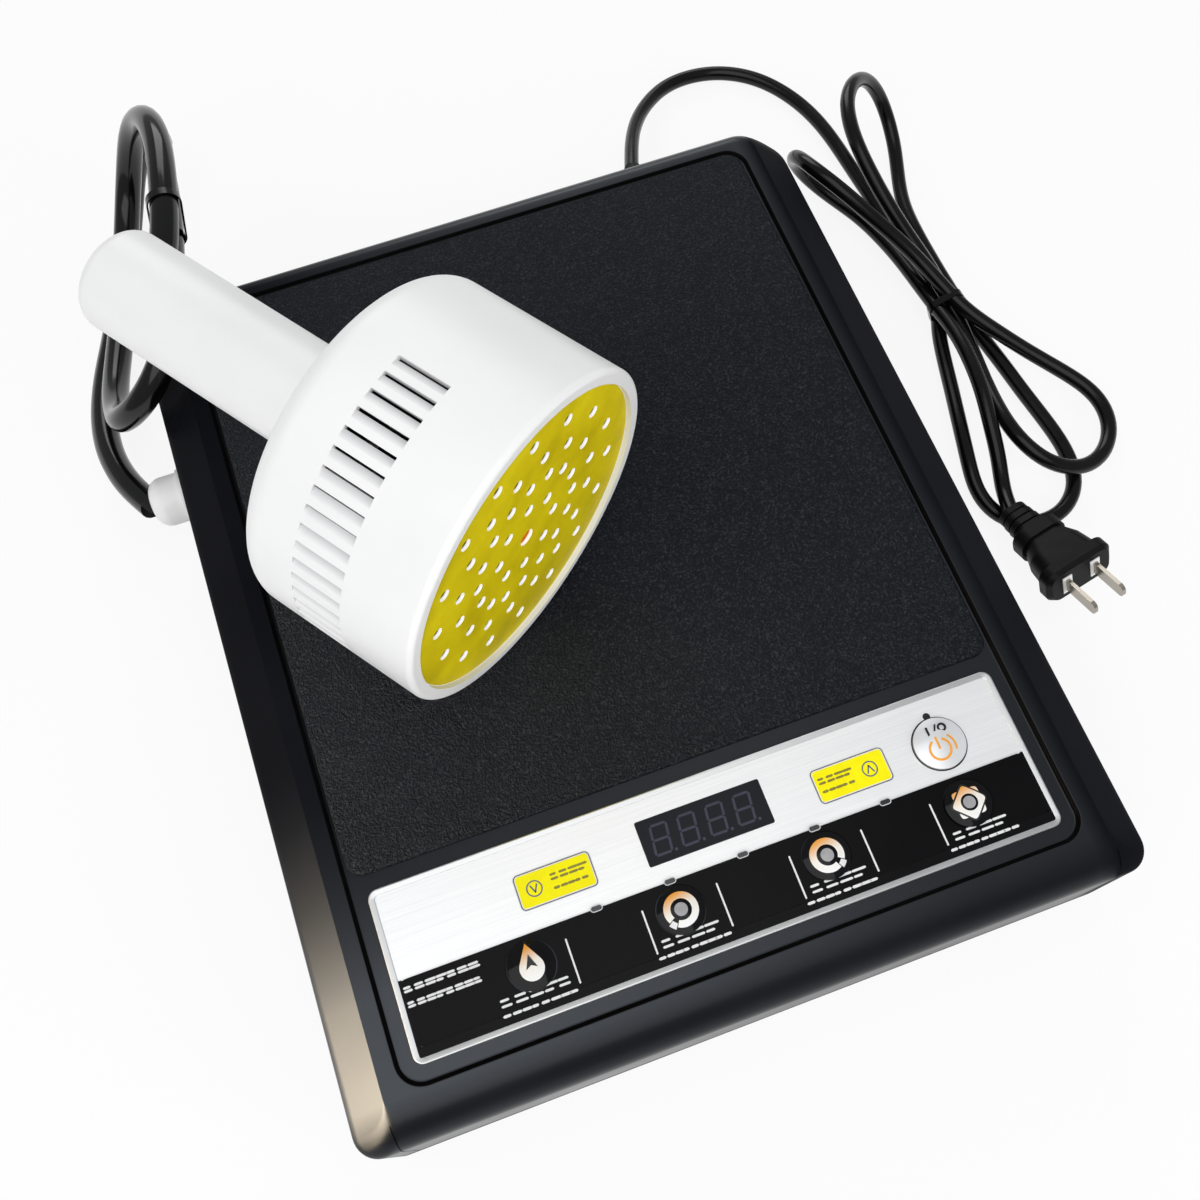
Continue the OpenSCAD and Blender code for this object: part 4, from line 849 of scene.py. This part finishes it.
def digits():
    """Four unlit digits of seven bars with their points."""
    shapes = []
    lean = 0.12
    w, low, high = 5.6, -109.2, -99.3
    middle = (low + high) / 2
    cut = 0.6
    strokes = [(cut, y, w - cut, y) for y in (high, middle, low)]
    for start, stop in ((low, middle), (middle, high)):
        strokes += [(x, start + cut, x, stop - cut) for x in (0, w)]
    for left in (-18.4, -8.6, 1.4, 11.3):

        def leant(x, y):
            return left + x + lean * (y - low), y

        for x0, y0, x1, y1 in strokes:
            shapes.append(bar(*leant(x0, y0), *leant(x1, y1), 0.85, 3))
        shapes.append(ring(left + 7.1, low, 0.55, 16))
    printed("digits", shapes, WINDOW_Z, segment_dark)


# Icons on the keys, as distances from the key's middle in every direction

def drop(width, length):
    """A drop with straight sides up to its tip at the back."""
    touch = math.acos(width / length)

    def edge(a):
        off = abs((a - math.pi / 2 + math.pi) % (2 * math.pi) - math.pi)
        return width / math.cos(min(off, touch) - touch)
    return edge


def square(half, turn):
    """A square with rounded corners, turned by an angle in degrees."""
    def edge(a):
        c, d = abs(math.cos(a - math.radians(turn))), abs(math.sin(a - math.radians(turn)))
        return half / (c ** 9 + d ** 9) ** (1 / 9)
    return edge


def round_edge(r):
    return lambda a: r


def key_icons():
    """Drop, two notched rings and two squares, white turning to amber."""
    middles = [(x, KEY_Y) for x in KEY_X]
    washes = [icon_material(f"icon_{i}", (*middle, KEY_TOP), 5.5) for i, middle in enumerate(middles)]
    whole = round_edge(0)
    x, y = middles[0]
    drop_patch = [(whole, drop(4.1, 8.1), 0, 360)]
    on_dome_at("mode_drop", (x, y - 1), middles[0], KEY_R, drop_patch, washes[0], "mode_key")
    chevron = [(x - 1.9, y - 1.1), (x, y - 0.1), (x + 1.9, y - 1.1), (x, y + 3.4)]
    printed("mode_chevron", [chevron], dome_z(1.5, KEY_R), print_black, "mode_key", 0.16)
    for i, (body, gap) in enumerate((("level_key", 225), ("time_key", 315)), start=1):
        middle = middles[i]
        band = (round_edge(3.5), round_edge(5.8), gap + 14, gap + 346)
        on_dome(f"{body}_ring", middle, KEY_R, [band], washes[i], body)
        notch = (round_edge(4.6), round_edge(6.6), gap - 11, gap + 11)
        on_dome(f"{body}_notch", middle, KEY_R, [notch], print_white, body)
        on_dome(f"{body}_dot", middle, KEY_R, [(whole, round_edge(2.2), 0, 360)], print_grey, body)
    middle = middles[3]
    ringed = round_edge(2.9)
    layers = (("fault_square", square(4.6, 0), washes[3], PRINT_T),
              ("fault_gap", square(4.95, 45), print_black, 0.09),
              ("fault_turned", square(4.4, 45), washes[3], 0.12))
    for name, edge, material, lift in layers:
        on_dome(name, middle, KEY_R, [(ringed, edge, 0, 360)], material, "fault_key", lift)
    on_dome("fault_dot", middle, KEY_R, [(whole, round_edge(2.1), 0, 360)], print_grey, "fault_key")


def power_icon():
    """The amber power symbol with its side stroke, and dark on and off marks above it."""
    x, y = POWER[0] - 1, POWER[1] - 2.2
    stroke = [(round_edge(3.2), round_edge(4.0), 118, 422)]
    on_dome_at("power_ring", (x, y), POWER, POWER_R, stroke, print_amber, "power_key")
    side = [(round_edge(5.2), round_edge(5.9), -18, 44)]
    on_dome_at("power_side", (x, y), POWER, POWER_R, side, print_amber, "power_key")
    flat = dome_z(4, POWER_R) - 0.04
    shapes = [bar(x - 0.1, y + 0.4, x - 0.1, y + 4.1, 0.8)]
    printed("power_bar", shapes, flat, print_amber, "power_key", 0.3)
    top = POWER[1] + 4.7
    shapes = [bar(POWER[0] - 2.6, top - 1.3, POWER[0] - 2.6, top + 1.3, 0.75),
              bar(POWER[0] - 0.7, top - 1.5, POWER[0] + 0.7, top + 1.5, 0.6)]
    printed("power_marks", shapes, dome_z(5.4, POWER_R) - 0.05, print_black, "power_key", 0.25)
    printed_frames("power_off", [(ring(POWER[0] + 2.6, top, 1.6), ring(POWER[0] + 2.6, top, 0.85))],
                   dome_z(5.6, POWER_R) - 0.05, print_black, "power_key", 0.25)


yellow_labels()
strip_prints()
lamp_outlines()
digits()
key_icons()
power_icon()
printed("power_hole", [ring(POWER[0], -96.1, 1.3)], FIELD_Z, print_black)
power_rings = [(ring(*POWER, POWER_R + 0.55, 72), ring(*POWER, POWER_R + 0.2, 72))]
printed_frames("power_edge", power_rings, FIELD_Z, print_black)


# Camera at the photograph's place

camera_data = bpy.data.cameras.new("camera")
camera_data.lens = 38.65
camera_data.sensor_width = 36
camera_data.clip_start = 0.01
camera = bpy.data.objects.new("camera", camera_data)
scene.collection.objects.link(camera)
RIGHT = Vector((0.9409, -0.3383, -0.0214))
UP = Vector((0.3206, 0.8680, 0.3796))
BACK = Vector((-0.1098, -0.3640, 0.9252))
camera.matrix_world = Matrix.Translation(at(-55.61, -184.33, 488.06)) @ Matrix(
    (RIGHT, UP, BACK)).transposed().to_4x4()
scene.camera = camera


# Cords

CABLE_D = 11.0
LEAD_D = 6.5
LEAD_ROUTE = [
    (83, 188.5, 27), (88, 202.5, 22.5), (93.5, 215.5, 17.5), (101, 228.5, 12.5), (111, 239.5, 8.5),
    (123, 248, 5.5), (137.5, 250.5, 4), (152, 247.5, 3.5), (165, 239, 3.5), (174.5, 226.5, 3.5),
    (181, 212, 3.5), (184.5, 197, 3.5), (186, 181, 3.5), (187, 165.5, 3.5), (188.5, 150, 3.5),
    (189, 134.5, 3.5), (190, 119, 3.5), (192.5, 103.5, 3.9), (192.5, 89.5, 4.3), (185.5, 76.5, 4.3),
    (181, 61, 4.9), (176.5, 44.5, 6.5), (171.5, 28.5, 9), (167, 12, 10), (164, -3.5, 7),
    (169, -16, 3.5), (180.5, -24.5, 3.5), (195.5, -24, 3.5), (207.5, -13.5, 3.5), (210.5, 3, 3.5),
    (208.5, 20, 3.5), (206, 35.5, 3.5), (204, 51, 4), (201.5, 66.5, 3.9), (200, 81.5, 4.3),
    (199, 97, 4.4), (198.5, 113, 4.5), (198.5, 128.5, 4.5), (200, 144, 3.5), (204.5, 158.5, 3.4),
    (209.5, 173, 5), (210.5, 186, 11.5), (206.5, 194, 23), (197.5, 194, 35), (186.5, 186.5, 43),
    (177.5, 174, 46), (174, 158.5, 44.5), (175, 143, 40), (178.5, 128.5, 33), (183.5, 115.5, 25),
    (189, 103, 18), (193, 90, 11), (194.5, 75.5, 7.5), (193.5, 60, 6.5), (190.5, 44, 9),
    (187.5, 27.5, 13), (187, 10.5, 16), (194, -4, 14), (207.5, -10.5, 10), (222, -7, 7),
    (232.5, 5.5, 6.5), (233.5, 21, 7), (225.5, 35.5, 7), (215, 49, 8.5), (205, 61.5, 12),
    (196.5, 74, 14), (190.5, 87, 17.5), (185, 100, 22), (177.5, 111, 28), (167.5, 122, 36),
    (158, 134, 43), (150.5, 148, 44.5), (149.5, 161.5, 38), (153, 169.5, 25), (160.5, 168.5, 12),
    (170.5, 159.5, 4), (178.5, 145.5, 3.4), (182.5, 130, 4.5), (184.5, 114, 7), (185, 98.5, 9.5),
    (185.5, 82.5, 12.5), (186.5, 67, 15.5), (185, 51.5, 18), (183, 35.5, 18.5), (180.5, 20.5, 15),
    (179, 6.5, 10), (174.9, -6.7, 6.8), (171.4, -19.2, 12)]
CABLE_ROUTE = [
    (-119.9, 119.9, 96.1), (-125, 129.5, 85.5), (-127, 146.5, 82), (-118, 163, 83.5),
    (-112, 181.5, 86.5), (-108.5, 201, 87.5), (-106.5, 220, 85.5), (-108, 238.5, 80), (-112.5, 253, 70),
    (-119.5, 261.5, 56), (-126, 263, 40), (-133, 257.5, 26), (-139, 244.5, 18.5), (-144, 227.5, 16.5),
    (-148.5, 209.5, 16.5), (-153, 191, 17.5), (-157.5, 173, 20), (-160, 155, 26), (-159, 138, 35),
    (-154.5, 125.5, 48.5), (-142, 122.5, 61), (-129, 130.5, 70.5), (-121.5, 146.5, 73),
    (-119, 166.5, 69.5), (-115, 187, 67.5), (-112, 208, 66.5), (-111, 228, 64), (-112.5, 246, 57.5),
    (-109, 260, 47), (-116.5, 272, 38), (-126.5, 275, 25.5), (-134, 268.5, 12), (-140.5, 254, 5.5),
    (-146, 236, 5.5), (-152, 217.5, 6.5), (-157.5, 199.5, 7), (-164, 182, 8.5), (-168.5, 164, 11.5),
    (-170, 146, 16), (-168.5, 128.5, 20.5), (-163.5, 111.5, 25.5), (-155, 96, 30)]

head_cord, head_length = cord_piece("head_cord", CABLE_ROUTE, CABLE_D, cable_black)
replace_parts(head_cord, "head_cable")
mains_cord, mains_length = cord_piece("mains_cord", LEAD_ROUTE, LEAD_D, lead_black)
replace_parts(mains_cord, "mains_lead")


# Floor and light

FLOOR_HALF = 6         # metres from the middle to the floor's sides
FLOOR_DROP = 0.0002    # the floor lies this much below the feet
FLOOR_WHITE = 0.88     # share of plain white in the floor where it is seen or mirrored


def floor_material():
    """Pale floor that the camera sees as near white, with the object's shadow kept."""
    material, tree, bsdf = shader("floor", (0.86, 0.86, 0.86), 0.9)
    tree.links.new(ramp(tree, noise(tree, place_node(tree), 3.0),
                        ((0.3, (0.85, 0.85, 0.85)), (0.7, (0.87, 0.87, 0.87)))), bsdf.inputs["Base Color"])
    glow = tree.nodes.new("ShaderNodeEmission")
    glow.inputs["Color"].default_value = (1, 1, 1, 1)
    rays = tree.nodes.new("ShaderNodeLightPath")
    clear = math_node(tree, "MAXIMUM", rays.outputs["Is Transmission Ray"], rays.outputs["Is Glossy Ray"])
    seen = math_node(tree, "MAXIMUM", rays.outputs["Is Camera Ray"], clear)
    mix = tree.nodes.new("ShaderNodeMixShader")
    tree.links.new(math_node(tree, "MULTIPLY", seen, FLOOR_WHITE), mix.inputs["Fac"])
    tree.links.new(bsdf.outputs["BSDF"], mix.inputs[1])
    tree.links.new(glow.outputs["Emission"], mix.inputs[2])
    tree.links.new(mix.outputs["Shader"], tree.nodes["Material Output"].inputs["Surface"])
    return material


floor_mesh = bpy.data.meshes.new("floor")
floor_corners = [(x * FLOOR_HALF, y * FLOOR_HALF, 0) for x, y in ((-1, -1), (1, -1), (1, 1), (-1, 1))]
floor_mesh.from_pydata(floor_corners, [], [(0, 1, 2, 3)])
floor = bpy.data.objects.new("floor", floor_mesh)
floor.location.z = -FLOOR_DROP
scene.collection.objects.link(floor)
floor_mesh.materials.append(floor_material())

world = bpy.data.worlds.new("studio")
world.use_nodes = True
background = world.node_tree.nodes["Background"]
background.inputs["Color"].default_value = (0.97, 0.985, 1.0, 1)
background.inputs["Strength"].default_value = 0.35
scene.world = world


def softbox(name, place, target, size, power, colour=(1, 1, 1)):
    """A square area lamp that faces a point."""
    lamp = bpy.data.lights.new(name, "AREA")
    lamp.shape = "SQUARE"
    lamp.size = size
    lamp.energy = power
    lamp.color = colour
    box = bpy.data.objects.new(name, lamp)
    scene.collection.objects.link(box)
    box.location = place
    box.rotation_euler = (Vector(target) - Vector(place)).to_track_quat("-Z", "Y").to_euler()
    return box


softbox("key_light", (-0.45, -0.55, 1.5), (-0.45, -0.55, 0), 1.6, 11.5)
softbox("back_light", (0.3, 1.6, 0.9), (0, 0, 0.05), 1.0, 8)
for name, place, power in (("front_fill", (1.0, -1.3, 0.8), 11), ("left_fill", (-1.0, -1.0, 1.0), 7.5)):
    fill = softbox(name, place, (0, 0, 0.1), 1.0, power)
    fill.visible_glossy = False
card = softbox("left_card", (-1.5, -0.4, 0.45), (-0.1, -0.1, 0.05), 1.0, 75, (1.0, 0.8, 0.56))
card.visible_diffuse = False
# The card lights only the case's top and keys, so that cords and head don't mirror it
lit = bpy.data.collections.new("card_receivers")
for name in ("case_top", "plate", "panel_border", "silver_field", "strip_margin"):
    lit.objects.link(bpy.data.objects[name])
for name in ("power_key", "mode_key", "level_key", "time_key", "fault_key"):
    lit.objects.link(nodes[name])
card.light_linking.receiver_collection = lit
